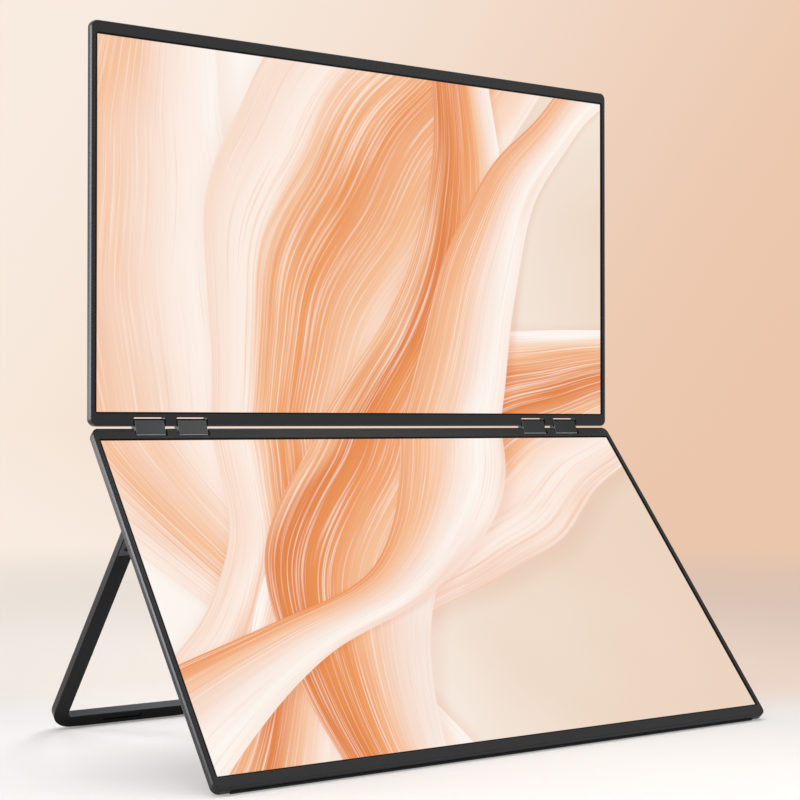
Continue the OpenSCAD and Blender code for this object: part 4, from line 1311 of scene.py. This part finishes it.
@dataclass(frozen=True)
class Softbox:
    """A soft rectangular lamp that faces the middle of the object."""

    name: str
    towards: tuple[float, float, float]
    size: Pair
    radiance: float
    distance: float = 2.0
    aim: tuple[float, float, float] = (0.0, 0.0, 0.18)

    def build(self) -> None:
        """Puts the lamp in its direction. Its power is pi times its area times its radiance."""
        data = bpy.data.lights.new(self.name, "AREA")
        data.shape = "RECTANGLE"
        data.size, data.size_y = self.size
        data.energy = pi * self.size[0] * self.size[1] * self.radiance
        lamp = bpy.data.objects.new(self.name, data)
        way = Vector(self.towards).normalized()
        lamp.location = Vector(self.aim) + way * self.distance
        lamp.rotation_euler = (-way).to_track_quat("-Z", "Y").to_euler()
        lamp.visible_camera = False
        bpy.context.scene.collection.objects.link(lamp)


SOFTBOXES = (
    Softbox("left", (-0.79, 0.61, 0.13), (0.5, 1.5), 9.0),
    Softbox("left_back", (-0.57, 0.82, -0.03), (0.8, 0.4), 2.5),
    Softbox("left_top", (-0.63, -0.09, 0.76), (0.6, 0.6), 4.5),
    Softbox("top", (0.0, 0.35, 1.0), (1.2, 1.2), 2.6),
    Softbox("right_front", (0.57, -0.82, 0.1), (1.2, 1.2), 1.2),
    Softbox("stand_bar", (0.54, 0.02, 0.84), (0.2, 0.2), 11.0, 0.6, (-0.15, 0.09, 0.01)),
    Softbox("links", (0.48, -0.67, 0.56), (0.4, 0.4), 6.2),
)


@dataclass
class Studio:
    """The floor, the soft lights and the camera."""

    camera_at: tuple[float, float, float] = (-0.528585, -0.761859, 0.165990)
    heading: float = 34.480
    pitch: float = 0.782
    focal: float = 75.555
    sensor: float = 36.0
    clip: float = 100.0
    sky: float = 0.5
    sky_tone: Tone = (0.96, 0.97, 1.0)
    floor_points: int = 64
    floor_rings: tuple[float, ...] = (0.05, 0.5, 1.5, 5.0, 15.0, 40.0)
    floor_drop: float = 0.00005
    floor_tone: Tone = srgb("fbf8f5")
    far_share: float = 0.84
    pool: tuple[float, float, float] = (-0.2, -0.29, 0.0)
    pool_edge: Pair = (0.26, 0.56)
    pale_share: float = 0.35
    floor_wall: Pair = (0.0, 0.6)
    grain: float = 0.02
    grain_share: float = 0.02
    roughness: float = 0.7
    specular: float = 0.2
    fade: Pair = (0.3, 1.5)
    lift: float = 0.3

    def camera(self) -> None:
        """A camera at the photograph's place, heading from +Y towards +X."""
        data = bpy.data.cameras.new("camera")
        data.lens = self.focal
        data.sensor_width = self.sensor
        data.clip_end = self.clip
        camera = bpy.data.objects.new("camera", data)
        camera.location = self.camera_at
        camera.rotation_euler = (pi / 2 + radians(self.pitch), 0, -radians(self.heading))
        bpy.context.scene.collection.objects.link(camera)
        bpy.context.scene.camera = camera

    def build(self) -> None:
        """Builds the camera, the world, the floor and the lights."""
        self.camera()
        self.world()
        self.floor()
        for softbox in SOFTBOXES:
            softbox.build()
        bpy.context.scene.view_settings.view_transform = "Standard"

    def world(self) -> None:
        """Soft light from all round, where the camera, metal and glass see the backdrop."""
        world = bpy.data.worlds.new("studio")
        bpy.context.scene.world = world
        nodes = Nodes(world)
        way = nodes.add("ShaderNodeTexCoord").outputs["Generated"]
        path = nodes.add("ShaderNodeLightPath").outputs
        camera, glossy, through = (nodes.value(path[f"Is {kind} Ray"])
                                   for kind in ("Camera", "Glossy", "Transmission"))
        seen = nodes.math("MAXIMUM", nodes.math("MAXIMUM", camera, glossy), through)
        soft = nodes.add("ShaderNodeBackground", {}, {0: self.sky_tone, 1: self.sky})
        shown = nodes.add("ShaderNodeBackground", {}, {0: nodes.backdrop(way), 1: 1.0})
        both = nodes.add("ShaderNodeMixShader", {}, {0: seen, 1: soft.outputs[0], 2: shown.outputs[0]})
        nodes.add("ShaderNodeOutputWorld", {}, {0: both.outputs[0]})

    def floor(self) -> None:
        """A pale floor, whose colour turns into the backdrop's with distance.

        It glows by itself by the share lift, so that its shadows stay soft.
        """
        turns = np.linspace(0, 2 * pi, self.floor_points, endpoint=False)
        level = np.full(self.floor_points, -self.floor_drop)
        rings = np.array([np.stack([np.cos(turns) * reach, np.sin(turns) * reach, level], 1)
                          for reach in self.floor_rings])
        skin = Skin()
        skin.cap(skin.rings(rings)[0])
        mesh = bpy.data.meshes.new("floor")
        mesh.from_pydata(np.concatenate(skin.points).tolist(), [], skin.faces)
        paint = Paint("floor")
        point = paint.place()
        length = paint.add("ShaderNodeVectorMath", {"operation": "LENGTH"}, {0: point})
        far = paint.value(length.outputs[1])
        way = paint.add("ShaderNodeVectorMath", {"operation": "NORMALIZE"}, {0: point}).outputs[0]
        beside = paint.add("ShaderNodeVectorMath", {"operation": "DISTANCE"}, {0: point, 1: self.pool})
        pool = paint.value(beside.outputs[1]).step(*self.pool_edge)
        grain = paint.noise(point, self.grain, 3)
        warm = paint.mix(self.pale_share, paint.backdrop(way, *self.floor_wall), self.floor_tone)
        away = paint.mix(1.0, warm, (self.far_share,) * 3, "MULTIPLY")
        tone = paint.mix(pool, self.floor_tone, away)
        paint.finish(Base_Color=paint.mix(grain * self.grain_share, tone, (0, 0, 0)),
                     Roughness=self.roughness, Specular_IOR_Level=self.specular)
        beyond = far.step(*self.fade)
        glow = paint.add("ShaderNodeEmission", {}, {0: paint.mix(beyond, tone, paint.backdrop(way))})
        share = self.lift + beyond * (1 - self.lift)
        mixed = paint.add("ShaderNodeMixShader", {},
                          {0: share, 1: paint.shader.outputs[0], 2: glow.outputs[0]})
        paint.feed(paint.output.inputs[0], mixed.outputs[0])
        mesh.materials.append(paint.material)
        floor = bpy.data.objects.new("floor", mesh)
        bpy.context.scene.collection.objects.link(floor)


def dress_nodes() -> None:
    """Gives every CAD node the finish of its slot in the record."""
    for part in frame["record"]["subparts"]:
        mesh = frame["nodes"][part["node"]].data
        mesh.materials.clear()
        mesh.materials.append(FINISHES[part["material_slot"]].material())


def main() -> None:
    """Builds the scene piece by piece."""
    logging.basicConfig(level=logging.INFO, format="%(name)s: %(message)s")
    Studio().build()
    dress_nodes()
    for side in Side:
        Display(side).build()
    Links().build()
    Stand().build()
    Housing().build()


if __name__ == "__main__":
    main()
